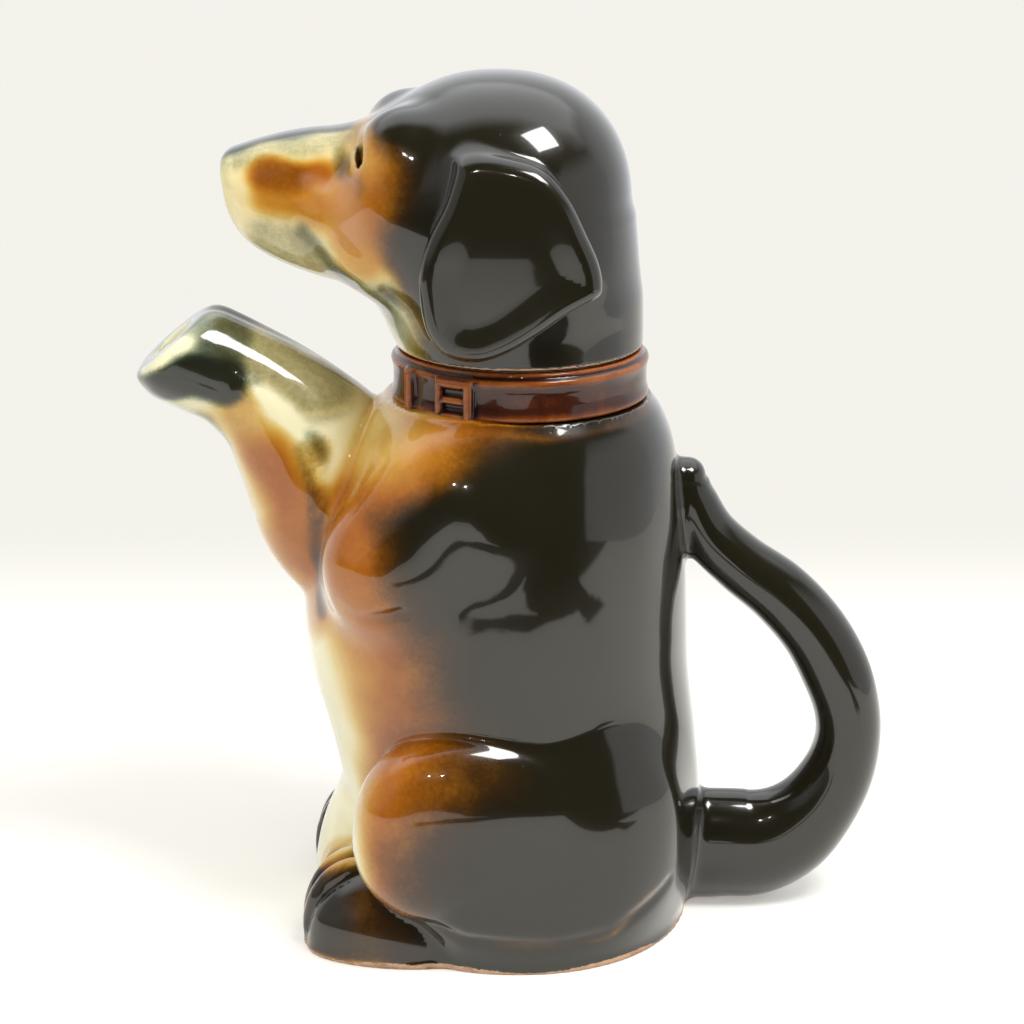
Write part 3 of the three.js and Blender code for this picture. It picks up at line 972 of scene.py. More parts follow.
class Wiring:
    """A material's or the world's node tree, emptied and wired anew."""

    def __init__(self, tree: bpy.types.NodeTree) -> None:
        """Empties the tree."""
        self.tree = tree
        tree.nodes.clear()

    def add(self, kind: str, settings: dict | None = None, inputs: dict | None = None) -> bpy.types.Node:
        """Adds a node.

        Args:
            kind: The node's type.
            settings: Its own settings, and a ramp's stops as pairs of place and colour.
            inputs: The values or links of its sockets, by name or number.

        Returns:
            The node.
        """
        node = self.tree.nodes.new(kind)
        for key, value in (settings or {}).items():
            if key == "stops":
                self._set_stops(node.color_ramp, value)
            else:
                setattr(node, key, value)
        self.plug(node, inputs or {})
        return node

    def plug(self, node: bpy.types.Node, inputs: dict) -> None:
        """Gives a node's sockets their values or links.

        Args:
            node: The node.
            inputs: The values or links of its sockets, by name or number.
        """
        for key, value in inputs.items():
            if isinstance(value, Value):
                value = value.socket
            if isinstance(value, bpy.types.NodeSocket):
                self.tree.links.new(value, node.inputs[key])
            else:
                node.inputs[key].default_value = value

    def show(self, surface: bpy.types.NodeSocket, kind: str = "ShaderNodeOutputMaterial") -> None:
        """Ends the tree in its output node."""
        self.add(kind, {}, {"Surface": surface})

    def glow(self, colour: Sequence[float], strength: Socketed = 1.0) -> bpy.types.NodeSocket:
        """A surface that shines by itself, by its colour with an alpha and its strength."""
        return self.add("ShaderNodeEmission", {}, {"Color": colour, "Strength": strength}).outputs[0]

    def place(self) -> bpy.types.NodeSocket:
        """The place on the object, in metres."""
        return self.add("ShaderNodeTexCoord").outputs["Object"]

    def bump(self, height: Value) -> bpy.types.NodeSocket:
        """The normal of a surface that is raised by a height in metres."""
        inputs = {"Strength": 1.0, "Distance": 1.0, "Height": height}
        return self.add("ShaderNodeBump", {}, inputs).outputs["Normal"]

    @staticmethod
    def _set_stops(ramp: bpy.types.ColorRamp, stops: Sequence[tuple[float, Colour]]) -> None:
        """Gives a ramp its stops."""
        while len(ramp.elements) < len(stops):
            ramp.elements.new(0.5)
        for element, (place, colour) in zip(ramp.elements, stops):
            element.position = place
            element.color = (*colour, 1.0)

    def mask(self, name: str) -> Value:
        """The number that the mesh holds under a name."""
        return Value(self, self.add("ShaderNodeAttribute", {"attribute_name": name}).outputs["Fac"])

    def noise(
        self, where: bpy.types.NodeSocket, scale: float, detail: float = 2.0, rough: float = 0.5
    ) -> Value:
        """A cloud of noise round 0.5."""
        inputs = {"Vector": where, "Scale": scale, "Detail": detail, "Roughness": rough}
        return Value(self, self.add("ShaderNodeTexNoise", {}, inputs).outputs["Fac"])

    def mix(self, share: Socketed, a: Socketed, b: Socketed, blend: str = "MIX") -> bpy.types.NodeSocket:
        """Mixes two colours."""
        settings = {"data_type": "RGBA", "blend_type": blend, "clamp_factor": True}
        return self.add("ShaderNodeMix", settings, {0: share, 6: a, 7: b}).outputs[2]

    def ramp(self, value: Value, stops: Sequence[tuple[float, Colour]]) -> bpy.types.NodeSocket:
        """Turns a number into a colour by a ramp."""
        return self.add("ShaderNodeValToRGB", {"stops": stops}, {"Fac": value}).outputs["Color"]


def filter_stops(absorbs: Colour, reach: float = 1.0, count: int = 7) -> list[tuple[float, Colour]]:
    """How a coloured glaze filters light as it thickens."""
    places = [i / (count - 1) for i in range(count)]
    return [(t, tuple(math.exp(-k * t * reach) for k in absorbs)) for t in places]


def opaque(colour: Colour) -> tuple[float, float, float, float]:
    """The colour with an alpha of 1."""
    return (*colour, 1.0)


class Finish:
    """A finish that can dress a piece."""

    name = "finish"

    def material(self) -> bpy.types.Material:
        """Makes the material.

        Returns:
            The material.
        """
        raise NotImplementedError

    def dress(self, piece: bpy.types.Object) -> None:
        """Puts the material on every slot of a piece.

        Args:
            piece: The object.
        """
        material = bpy.data.materials.get(self.name) or self.material()
        piece.data.materials.clear()
        piece.data.materials.append(material)

    def start(self) -> tuple[Wiring, bpy.types.Node]:
        """Makes the material's empty tree with its shader.

        Returns:
            The wiring and the shader node.
        """
        material = bpy.data.materials.new(self.name)
        material.use_nodes = True
        wiring = Wiring(material.node_tree)
        shader = wiring.add("ShaderNodeBsdfPrincipled")
        wiring.show(shader.outputs[0])
        return wiring, shader


@dataclass(frozen=True)
class SprayedGlaze(Finish):
    """Ivory glaze under sprayed amber and smoky black, fired to a high gloss.

    Attributes:
        name: The material's name.
        ivory: The ground glaze.
        pooled: The ground glaze where it has run together.
        amber: How the amber coat takes up red, green and blue.
        smoke: How the black coat takes them up.
        soot: The black coat's own colour where it is thick.
        rose: Where thin glaze lets the pink of the clay through, and a painted pink reflection across the
            snout.
        clay: The unglazed clay.
        dirt: The clay where it is stained.
        waviness: How deep the glaze's slow ripples are, in metres.
        pit: How deep its pinholes are.
        sand: How deep the bare clay's grain is.
        gloss: The roughness of its surface.
    """

    name: str = "sprayed_glaze"
    ivory: Colour = (0.79, 0.75, 0.51)
    pooled: Colour = (0.74, 0.70, 0.42)
    amber: Colour = (0.90, 2.15, 5.2)
    smoke: Colour = (3.6, 3.15, 3.3)
    soot: Colour = (0.011, 0.010, 0.005)
    rose: Colour = (0.46, 0.21, 0.10)
    clay: Colour = (0.56, 0.36, 0.24)
    dirt: Colour = (0.30, 0.17, 0.10)
    waviness: float = 0.00045
    pit: float = 0.00003
    sand: float = 0.0002
    gloss: float = 0.05

    def material(self) -> bpy.types.Material:
        """See Finish.material."""
        wiring, shader = self.start()
        where = wiring.place()
        cloud = wiring.noise(where, 95.0, 3.0) - 0.5
        fleck = wiring.noise(where, 900.0, 2.0, 0.6) - 0.5
        grain = wiring.noise(where, 2600.0, 1.0) - 0.5
        amber, smoke, rose, bare = (wiring.mask(layer.value) for layer in Layer)
        proud = wiring.mask("proud")
        edge = smoke * (1.0 - smoke) * 4.0
        amber = (amber * (1.0 + cloud * 0.5 + fleck * 0.22) - proud * 0.12).held()
        smoke = (smoke * (1.0 + cloud * 0.2) + edge * (cloud * 0.4 + fleck * 0.2 + grain * 0.12)).held()
        smoke = (smoke - proud.math("MAXIMUM", 0.0) * edge * 0.35).held()
        pool = wiring.noise(where, 60.0, 4.0).above(0.35, 0.75)
        ground = wiring.mix(pool, opaque(self.ivory), opaque(self.pooled))
        colour = wiring.mix(1.0, ground, wiring.ramp(amber, filter_stops(self.amber)), "MULTIPLY")
        colour = wiring.mix(1.0, colour, wiring.ramp(smoke, filter_stops(self.smoke)), "MULTIPLY")
        colour = wiring.mix(smoke * smoke * 0.85, colour, opaque(self.soot))
        # The rose mask is thin glaze over pink clay, and on the snout a painted pink reflection.
        colour = wiring.mix((rose * (0.9 + fleck * 0.9)).held(), colour, opaque(self.rose))
        stain = wiring.noise(where, 400.0, 4.0).above(0.45, 0.8)
        rim = (bare + fleck * 0.5 * bare * (1.0 - bare) * 4.0).above(0.4, 0.6)
        colour = wiring.mix(rim, colour, wiring.mix(stain, opaque(self.clay), opaque(self.dirt)))
        scatter = {"Vector": where, "Scale": 330.0, "Randomness": 1.0}
        pits = wiring.add("ShaderNodeTexVoronoi", {"feature": "F1"}, scatter)
        pit = Value(wiring, pits.outputs["Distance"]).below(0.03, 0.11)
        slow = wiring.noise(where, 46.0, 1.0)
        height = slow * self.waviness - pit * self.pit + grain * rim * self.sand
        looks = {
            "Base Color": colour,
            "Roughness": 0.22 + cloud * 0.1 + rim * 0.5,
            "Coat Weight": 1.0 - rim,
            "Coat Roughness": self.gloss,
            "Coat IOR": 1.5,
            "Specular IOR Level": 0.2,
            "Normal": wiring.bump(height),
        }
        wiring.plug(shader, looks)
        return bpy.data.materials[self.name]


@dataclass(frozen=True)
class CollarGlaze(Finish):
    """Amber-red glaze that pools dark beside the raised edges of the strap.

    Attributes:
        name: The material's name.
        thin: Its colour over the edges.
        warm: Its colour where it is a little thicker.
        dark: Its colour on the flat of the strap.
        deep: Its colour where it has pooled.
    """

    name: str = "strap_glaze"
    thin: Colour = (0.42, 0.125, 0.016)
    warm: Colour = (0.15, 0.034, 0.005)
    dark: Colour = (0.040, 0.009, 0.003)
    deep: Colour = (0.010, 0.003, 0.0015)

    def material(self) -> bpy.types.Material:
        """See Finish.material."""
        wiring, shader = self.start()
        where = wiring.place()
        cloud = wiring.noise(where, 120.0, 3.0)
        fleck = wiring.noise(where, 800.0, 3.0) - 0.5
        proud = wiring.mask("proud")
        depth = (0.68 - proud * 0.42 + (cloud - 0.5) * 0.5 + fleck * 0.2).held()
        stops = [(0.0, self.thin), (0.38, self.warm), (0.66, self.dark), (1.0, self.deep)]
        height = wiring.noise(where, 60.0, 1.0) * 0.0002 + fleck * 0.00001
        looks = {
            "Base Color": wiring.ramp(depth, stops),
            "Roughness": 0.2 + cloud * 0.1,
            "Specular IOR Level": 0.1,
            "Coat Weight": 0.8,
            "Coat Roughness": 0.04,
            "Normal": wiring.bump(height),
        }
        wiring.plug(shader, looks)
        return bpy.data.materials[self.name]


@dataclass(frozen=True)
class BareClay(Finish):
    """Fired clay without glaze, slightly sandy and stained by tea.

    Attributes:
        name: The material's name.
        pale: The clay.
        stain: The clay where tea has soaked in.
        grit: Its grains of sand.
        roughness: How deep the grain is, in metres.
    """

    name: str = "sandy_clay"
    pale: Colour = (0.66, 0.50, 0.35)
    stain: Colour = (0.36, 0.20, 0.10)
    grit: Colour = (0.85, 0.72, 0.56)
    roughness: float = 0.00012

    def material(self) -> bpy.types.Material:
        """See Finish.material."""
        wiring, shader = self.start()
        where = wiring.place()
        stain = wiring.noise(where, 150.0, 5.0, 0.6).above(0.45, 0.8)
        sand = wiring.noise(where, 2200.0, 2.0)
        colour = wiring.mix(stain * 0.7, opaque(self.pale), opaque(self.stain))
        looks = {
            "Base Color": wiring.mix(sand.above(0.6, 0.75) * 0.35, colour, opaque(self.grit)),
            "Roughness": 0.75 + sand * 0.2,
            "Normal": wiring.bump(sand * self.roughness),
        }
        wiring.plug(shader, looks)
        return bpy.data.materials[self.name]


# The pot

# The heights of the neck's rim, of the head's underside over it, and the crease round the thigh
SEAT = 131.7
CLOSED = 132.0
THIGH_EDGE = (
    (-33.8, -31.0, 27.0),
    (-30.0, -36.0, 19.5),
    (-21.8, -39.5, 13.4),
    (-11.8, -41.0, 9.4),
    (6.5, -41.6, 7.3),
    (21.1, -38.0, 8.7),
    (32.8, -28.0, 16.5),
)


@dataclass(frozen=True)
class Cuff(Form):
    """A level ring of clay with rounded edges.

    Attributes:
        inside: Its inside radius.
        outside: Its outside radius.
        low: The height of its lower edge.
        high: The height of its upper edge.
        rounding: The radius of its edges' rounding.
    """

    inside: float
    outside: float
    low: float
    high: float
    rounding: float

    def distance(self, points: Array) -> Array:
        """See Form.distance."""
        reach = np.hypot(points[:, 0], points[:, 1])
        across = np.abs(reach - (self.inside + self.outside) / 2.0) - (self.outside - self.inside) / 2.0
        up = np.abs(points[:, 2] - (self.low + self.high) / 2.0) - (self.high - self.low) / 2.0
        return rounded_corner(across, up, self.rounding)


@dataclass(frozen=True)
class Pot:
    """The pot: torso, forelegs that pour, tail that is held and hind feet, cast apart and joined with slip.

    Attributes:
        axis_x: Where the neck's axis lies along X in the frame.
        step: The spacing of its mesh.
        wall: The thickness of the clay.
        floor: The height of the chamber's floor.
        barrel: The torso without its limbs.
        limbs: The shoulder, elbow and lap, each with the fill of its crease.
        thigh: The thigh, which has a sharp crease over it and in front.
        spout: The forelegs.
        bore: The channel inside them.
        mouth: The middle of the spout's mouth.
        facing: The way that the mouth faces.
        tail: The handle.
        foot: The near hind foot.
        grooves: The creases of the skin.
        passes: How it is sprayed.
        room: The lowest and highest corners of the space that is meshed.
        crease: The fill of the crease over the thigh.
        slope: How much more fill it has behind and below.
        behind: Between which places along X the thigh runs out into the flank.
        below: Between which heights it runs out into the foot rim.
        ahead: Between which places along X that starts.
        fills: The fill of the creases round the forelegs, the tail and a foot.
        flare: How far the foot rim stands out, and how high that reaches.
        mouth_rounding: How far the edge of the spout's mouth is rounded.
        edge: How far the other edges are.
        lip: How far the edges of the walls are.
        neck: The neck's inside and outside radius.
        neck_low: Where the neck's ring starts, inside the torso.
        neck_floor: How far down the neck's opening reaches.
        recess: How high the hollow under the floor is, and how wide the rim round it.
        holes: The strainer's rows, as the number of holes and the place of the row over the middle one.
        hole_pitch: How far apart the holes are.
        hole_middle: Where the strainer lies along X, and the height of its middle.
        hole_radius: The radius of a hole.
        wander: The patches by which the spray wanders, their random fields, and how far it does.
    """

    axis_x: float
    step: float = 1.0
    wall: float = 4.5
    floor: float = 6.0
    barrel: Stack = Stack(
        (
            (-4.3, 37.0, 37.2, 39.4),
            (1.2, 38.6, 38.0, 40.3),
            (12.7, 38.8, 40.6, 40.0),
            (27.7, 39.4, 41.0, 38.6),
            (42.7, 42.6, 39.8, 35.2),
            (57.7, 46.6, 38.0, 35.8),
            (69.7, 48.0, 37.4, 37.0),
            (82.7, 47.2, 36.8, 37.5),
            (97.7, 43.2, 35.4, 36.5),
            (109.7, 38.2, 33.9, 34.0),
            (116.7, 33.6, 31.4, 31.4),
            (120.8, 29.6, 28.6, 28.8),
        ),
        power=2.1,
    )
    limbs: Sequence[tuple[Form, float]] = (
        (Egg((-13.0, -21.5, 101.7), (20.0, 17.3, 18.0), 0.35), 7.0),
        (Egg((-27.0, -25.3, 89.7), (15.3, 13.8, 16.0), 0.3), 7.0),
        (Egg((-34.0, 0.0, 3.7), (13.2, 22.0, 29.0)), 5.0),
    )
    thigh: Form = Egg((-2.0, -28.4, 29.5), (35.0, 13.6, 23.6), tilt=0.12, swing=0.25, power=2.5)
    spout: Form = Limb(
        (
            (-16.4, 80.5, 14.6, 14.6),
            (-27.4, 85.8, 19.8, 16.6),
            (-36.3, 93.4, 21.0, 17.1),
            (-42.1, 103.3, 19.6, 16.2),
            (-48.0, 111.9, 16.9, 14.7),
            (-54.4, 119.3, 14.0, 13.5),
            (-61.9, 125.0, 12.4, 12.9),
            (-68.9, 128.5, 12.3, 13.8),
            (-75.4, 131.3, 11.8, 14.4),
            (-79.8, 133.0, 9.8, 13.2),
            (-84.0, 134.5, 7.4, 11.2),
        ),
        drop=0.12,
    )
    bore: Form = Limb(
        (
            (-3.8, 84.2, 10.5, 9.0),
            (-30.9, 90.4, 16.1, 10.2),
            (-43.6, 103.4, 13.6, 9.6),
            (-51.9, 115.8, 8.7, 7.8),
            (-60.2, 123.6, 5.3, 5.4),
            (-71.1, 127.3, 5.0, 5.0),
            (-77.1, 134.3, 5.0, 5.0),
        )
    )
    mouth: Point = (-76.3, 0.0, 132.6)
    facing: Point = (-0.652, 0.0, 0.758)
    tail: Form = Limb(
        (
            (31.8, 13.4, 12.6, 7.5),
            (41.8, 13.7, 13.0, 8.4),
            (47.4, 13.8, 12.9, 8.7),
            (55.1, 14.0, 12.6, 8.7),
            (62.3, 17.2, 11.3, 8.5),
            (68.3, 23.2, 9.4, 8.4),
            (72.8, 31.3, 8.2, 8.2),
            (74.7, 39.5, 7.5, 8.1),
            (74.2, 47.3, 7.5, 7.9),
            (71.3, 56.1, 7.85, 7.8),
            (66.0, 65.7, 7.65, 7.6),
            (58.3, 74.4, 7.35, 7.5),
            (49.2, 81.5, 6.7, 7.2),
            (42.2, 88.3, 6.3, 6.7),
            (38.4, 95.8, 5.6, 6.2),
            (37.3, 100.4, 4.6, 5.6),
            (37.2, 102.0, 3.9, 4.9),
        )
    )
    foot: Form = Blend(
        (
            (Egg((-25.0, -25.0, 1.0), (23.0, 12.4, 17.0), 0.42, -0.1), 0.0),
            (Egg((-37.4, -13.6, 7.4), (9.6, 4.0, 13.8), 0.3), 1.6),
            (Egg((-38.2, -19.2, 7.6), (10.0, 4.0, 14.2), 0.3), 1.6),
            (Egg((-38.0, -24.6, 7.4), (10.0, 4.0, 13.8), 0.3), 1.6),
            (Egg((-29.0, -29.2, 0.0), (18.5, 7.6, 14.5), 0.45, -0.12), 1.8),
        )
    )
    grooves: Sequence[Groove] = (
        Groove(
            (
                (-59.0, -12.8, 126.2),
                (-50.7, -13.6, 119.4),
                (-46.2, -14.4, 113.0),
                (-43.6, -15.2, 107.6),
                (-42.1, -16.2, 99.0),
            ),
            2.6,
            -0.6,
        ),
        Groove(((-79.0, 0.0, 120.7), (-66.0, 0.0, 114.7), (-58.0, 0.0, 105.7), (-53.0, 0.0, 89.7)), 2.4, 1.1),
        Groove(((-74.0, 0.0, 143.7), (-60.0, 0.0, 136.2), (-48.0, 0.0, 128.2)), 2.4, 1.0),
        Groove(THIGH_EDGE, 1.5, 0.6),
        Groove(((-47.0, -26.5, 5.0), (-42.0, -27.0, 14.0), (-34.0, -27.5, 20.0)), 1.2, 0.7),
        Groove(((-41.0, -34.0, 82.0), (-35.9, -36.0, 78.7), (-25.3, -38.0, 82.0)), 2.0, 1.0),
    )
    passes: Sequence[Pass] = (
        Wash(
            Layer.AMBER,
            (
                (0.0, -34.0, -27.0),
                (30.0, -37.0, -30.0),
                (47.0, -41.0, -27.0),
                (56.0, -43.0, -25.0),
                (65.0, -45.0, -25.0),
                (76.0, -49.0, -31.0),
                (88.0, -49.0, -39.0),
                (97.0, -48.0, -38.0),
                (104.0, -47.0, -33.0),
                (110.0, -44.0, -20.0),
                (116.0, -44.0, -8.0),
                (121.0, -44.0, -3.0),
            ),
            0.96,
        ),
        Wash(
            Layer.SMOKE,
            (
                (0.0, -36.0, -12.0),
                (15.0, -36.0, -10.0),
                (30.0, -38.0, -4.0),
                (38.0, -34.0, 6.0),
                (44.0, -33.0, 12.0),
                (51.0, -32.0, 10.0),
                (57.0, -30.0, 4.0),
                (66.0, -32.0, 0.0),
                (76.0, -33.0, -4.0),
                (91.0, -35.0, -16.0),
                (103.0, -35.0, -19.0),
                (110.0, -27.0, -7.0),
                (116.0, -23.0, 8.0),
                (120.0, -20.0, 18.0),
                (132.0, -16.0, 18.0),
            ),
        ),
        *strokes(
            Layer.AMBER,
            (((-60.0, -6.0, 114.0), (-54.0, -8.0, 98.0), (-48.0, -8.0, 80.0)), 7.0, 7.0, 0.2),
            (((-53.0, -12.0, 109.0), (-49.5, -14.0, 99.0), (-46.5, -15.0, 89.0)), 2.6, 8.0, 1.0),
            (((-50.0, -12.0, 88.0), (-45.0, -14.0, 77.0)), 4.0, 7.0, 0.45),
            (((-61.0, -12.5, 122.5), (-57.5, -12.5, 116.0)), 1.5, 5.0, 0.4),
            (((-44.5, -13.0, 111.0), (-43.5, -16.0, 100.0)), 1.0, 4.0, 0.7),
            (((-43.5, -15.0, 103.0), (-43.0, -16.0, 92.0), (-43.0, -17.0, 78.0)), 1.2, 4.0, 0.9),
            (((-60.0, -6.0, 135.0), (-42.0, -8.0, 124.5)), 5.0, 5.0, 0.16),
            (THIGH_EDGE, 0.3, 1.6, -0.4),
            (((-36.0, 0.0, 36.0), (-40.0, 0.0, 16.0)), 6.0, 14.0, -0.85),
            (((-42.0, -22.0, 8.0), (-14.0, -34.0, 4.0)), 10.0, 7.0, 0.9),
        ),
        *strokes(
            Layer.SMOKE,
            (((-44.5, -14.0, 113.0), (-43.0, -16.0, 98.0), (-43.0, -17.0, 78.0)), 0.7, 3.6, 0.45),
            (((-61.5, -12.5, 122.0), (-57.0, -12.5, 117.0)), 1.0, 4.5, 0.08),
            (
                ((-86.0, -7.0, 124.0), (-79.0, -12.0, 127.2), (-71.0, -13.5, 128.6), (-64.5, -13.5, 127.6)),
                5.0,
                3.0,
                0.98,
            ),
            (((-64.0, -13.5, 129.0), (-57.5, -13.0, 125.5)), 0.8, 3.6, 0.55),
            (((-82.0, -9.0, 131.0), (-76.3, -13.0, 134.5), (-67.6, -9.0, 140.5)), 2.0, 3.2, -0.95),
            (((-73.0, -5.0, 141.0), (-64.0, -6.0, 137.0)), 5.5, 4.0, 0.5),
            (((-64.0, -6.0, 137.0), (-54.0, -6.0, 131.5), (-42.0, -8.0, 124.5)), 5.0, 5.0, 0.27),
            (((-77.0, 0.0, 122.5), (-66.0, 0.0, 117.5)), 7.0, 5.0, 0.35),
            (THIGH_EDGE, 0.4, 1.9, -0.5),
            (((-44.0, -22.0, 8.0), (-38.0, -22.0, 8.0)), 9.0, 6.0, 0.8),
            (((-34.0, -26.0, 6.0), (-14.0, -34.0, 4.0)), 9.0, 6.0, 0.62),
            (((-42.0, -20.0, 20.0), (-38.0, -20.0, 22.0)), 2.5, 3.0, -0.45),
        ),
        Stroke(Layer.ROSE, ((-34.0, -33.0, 47.0), (-34.5, -33.0, 33.0), (-30.5, -36.0, 21.0)), 0.6, 3.0, 0.5),
        Band(Layer.SMOKE, 119.6, 1.3, 0.45),
    )
    room: tuple[Point, Point] = ((-85.5, -47.5, -2.0), (85.0, 47.5, 145.0))
    crease: float = 1.8
    slope: float = 9.0
    behind: tuple[float, float] = (2.0, 28.0)
    below: tuple[float, float] = (9.0, 26.0)
    ahead: tuple[float, float] = (-26.0, -12.0)
    fills: tuple[float, float, float] = (2.0, 3.0, 1.6)
    flare: tuple[float, float] = (0.45, 1.6)
    mouth_rounding: float = 3.2
    edge: float = 0.8
    lip: float = 1.4
    neck: tuple[float, float] = (20.8, 24.8)
    neck_low: float = 107.7
    neck_floor: float = 58.0
    recess: tuple[float, float] = (1.2, 7.0)
    holes: Sequence[tuple[int, int]] = ((2, -1), (3, 0), (2, 1))
    hole_pitch: float = 7.13
    hole_middle: tuple[float, float] = (-25.0, 90.4)
    hole_radius: float = 2.3
    wander: tuple[float, tuple[int, int, int], float] = (16.0, (3, 4, 5), 1.3)

    def torso(self, points: Array) -> Array:
        """The torso's distance, with its limbs' roots."""
        x, z = points[:, 0], points[:, 2]
        body = Blend(((self.barrel, 0.0), *self.limbs)).distance(points)
        behind = smooth_step(x, *self.behind)
        below = (1.0 - smooth_step(z, *self.below)) * smooth_step(x, *self.ahead)
        fill = self.crease + self.slope * np.maximum(behind, below)
        return soft_min(body, self.thigh.distance(points), fill)

    def castings(self, points: Array) -> Array:
        """The distances of the torso, forelegs, tail and hind foot, each without its neighbours."""
        forms = (self.torso, self.spout.distance, self.tail.distance, self.foot.distance)
        return np.stack([distance(points) for distance in forms])

    def outside(self, points: Array) -> Array:
        """The distance of the outer skin, with all castings joined."""
        total, *others = self.castings(points)
        for other, fill in zip(others, self.fills):
            total = soft_min(total, other, fill)
        out, high = self.flare
        total = grooved(total, points, self.grooves) - out * np.exp(-((points[:, 2] / high) ** 2))
        away = (points - np.array(self.mouth)) @ np.array(self.facing)
        return soft_max(total, away, self.mouth_rounding)

    def shrunk(self, depth: float) -> Form:
        """The barrel, drawn in all round by a depth."""
        return Stack(self.barrel.rows, self.barrel.power, -depth)

    def hollow(self, points: Array) -> Array:
        """The distance of the chamber, the neck, the bore and the strainer's holes."""
        chamber = soft_max(self.shrunk(self.wall).distance(points), self.floor - points[:, 2], 5.0)
        neck = np.hypot(points[:, 0], points[:, 1]) - self.neck[0]
        neck = np.maximum(neck, self.neck_floor - points[:, 2])
        body = self.torso(points)
        bore = np.maximum(self.bore.distance(points), 0.4 - body)
        total = soft_min(soft_min(chamber, neck, 3.0), bore, 0.01)
        back, middle = self.hole_middle
        for count, row in self.holes:
            for k in range(count):
                y, z = (k - (count - 1) / 2.0) * self.hole_pitch, middle + row * self.hole_pitch
                hole = np.hypot(np.abs(points[:, 1]) - abs(y), points[:, 2] - z) - self.hole_radius
                hole = np.maximum(np.maximum(hole, body - 1.0), points[:, 0] - back)
                total = np.minimum(total, hole)
        return total

    def clay(self, points: Array) -> Array:
        """The distance of the pot's clay, walls and all."""
        points = folded(points)
        neck = Cuff(0.0, self.neck[1], self.neck_low, SEAT, 1.2).distance(points)
        outer = soft_min(self.outside(points), neck, self.edge)
        outer = soft_max(outer, -points[:, 2], self.edge)
        high, wide = self.recess
        recess = np.maximum(self.shrunk(wide).distance(points), points[:, 2] - high)
        outer = soft_max(outer, -recess, 0.5)
        return soft_max(outer, -self.hollow(points), self.lip)

    def build(self) -> list[bpy.types.Object]:
        """Meshes the pot and parts it into its castings.

        Returns:
            The pieces.
        """
        skin = sculptor(self.step).cast(self.clay, *self.room)
        masks = self.masks(skin)
        middles = skin.points[skin.quads].mean(axis=1)
        owner = self.castings(folded(middles)).argmin(axis=0)
        left = middles[:, 1] < 0.0
        names = {
            "pot_torso": (owner == 0, "pot_body", "dark_glaze"),
            "foreleg_spout_piece": (owner == 1, "foreleg_spout", "cream_glaze"),
            "tail_handle_piece": (owner == 2, "tail_handle", "dark_glaze"),
            "left_hind_foot_piece": ((owner == 3) & left, "left_hind_foot", "tan_glaze"),
            "right_hind_foot_piece": ((owner == 3) & ~left, "right_hind_foot", "tan_glaze"),
        }
        pieces = []
        for name, (chosen, node, slot) in names.items():
            piece = make_piece(name, skin, skin.quads[chosen], masks, self.axis_x)
            SprayedGlaze().dress(piece)
            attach(piece, "pot")
            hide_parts(node)
            pieces.append(piece)
        return pieces

    def masks(self, skin: Skin) -> dict[str, Array]:
        """The thickness of each coat over the pot.

        Args:
            skin: The pot's skin.

        Returns:
            The masks by name.
        """
        pitch, seeds, far = self.wander
        near = folded(skin.points)
        wobble = drift(skin.points, pitch, seeds)
        coats = spray_all(near + wobble * far, self.passes)
        inside = self.outside(near) < -1.5
        line_inside(coats, inside, smoke=0.05, amber=0.12)
        height = skin.points[:, 2]
        foot = 1.0 - smooth_step(height + wobble[:, 2] * 0.25, 0.7, 1.3)
        on_neck = np.hypot(near[:, 0], near[:, 1]) < self.neck[1] + 1.2
        lip = smooth_step(height, SEAT - 0.9, SEAT - 0.4) * on_neck
        coats[Layer.BARE] = np.maximum(np.where(inside & (height > 3.0), 0.0, foot), lip)
        return named_masks(coats, skin.bend, 2.5)


# The collar


@dataclass(frozen=True)
class Buckle(Form):
    """The frame, prong and keeper that stand proud of the strap on the near side.

    Attributes:
        radius: The radius of the strap's outer face.
        middle: The height of the strap's middle.
        angle: How far round it is from the chest.
        width: The width of the frame along the strap.
        height: The height of the frame.
        bar: The width of its bars.
        relief: How far it stands proud.
        keeper: How far on towards the chest the keeper is, in radians.
        prong: Half the prong's width.
        loop: Half the keeper's width.
    """

    radius: float = 28.3
    middle: float = 125.2
    angle: float = 1.05
    width: float = 9.0
    height: float = 9.4
    bar: float = 2.1
    relief: float = 1.3
    keeper: float = 0.47
    prong: float = 0.8
    loop: float = 1.3

    def distance(self, points: Array) -> Array:
        """See Form.distance."""
        reach = np.hypot(points[:, 0], points[:, 1])
        turn = np.arctan2(-points[:, 1], -points[:, 0]) - self.angle
        across, up = np.abs(turn * self.radius), np.abs(points[:, 2] - self.middle)
        wide, tall = self.width / 2.0, self.height / 2.0
        proud = np.abs(reach - self.radius) - self.relief
        frame = np.maximum(across - wide, up - tall)
        window = np.maximum(across - wide + self.bar, up - tall + self.bar)
        frame = soft_max(soft_max(frame, -window, 0.8), proud, 1.6)
        prong = soft_max(np.maximum(up - self.prong, across - wide), proud + 0.5, 1.0)
        along = np.abs((turn + self.keeper) * self.radius)
        keeper = soft_max(np.maximum(along - self.loop, up - tall), proud + 0.3, 1.2)
        return np.minimum(np.minimum(frame, prong), keeper)


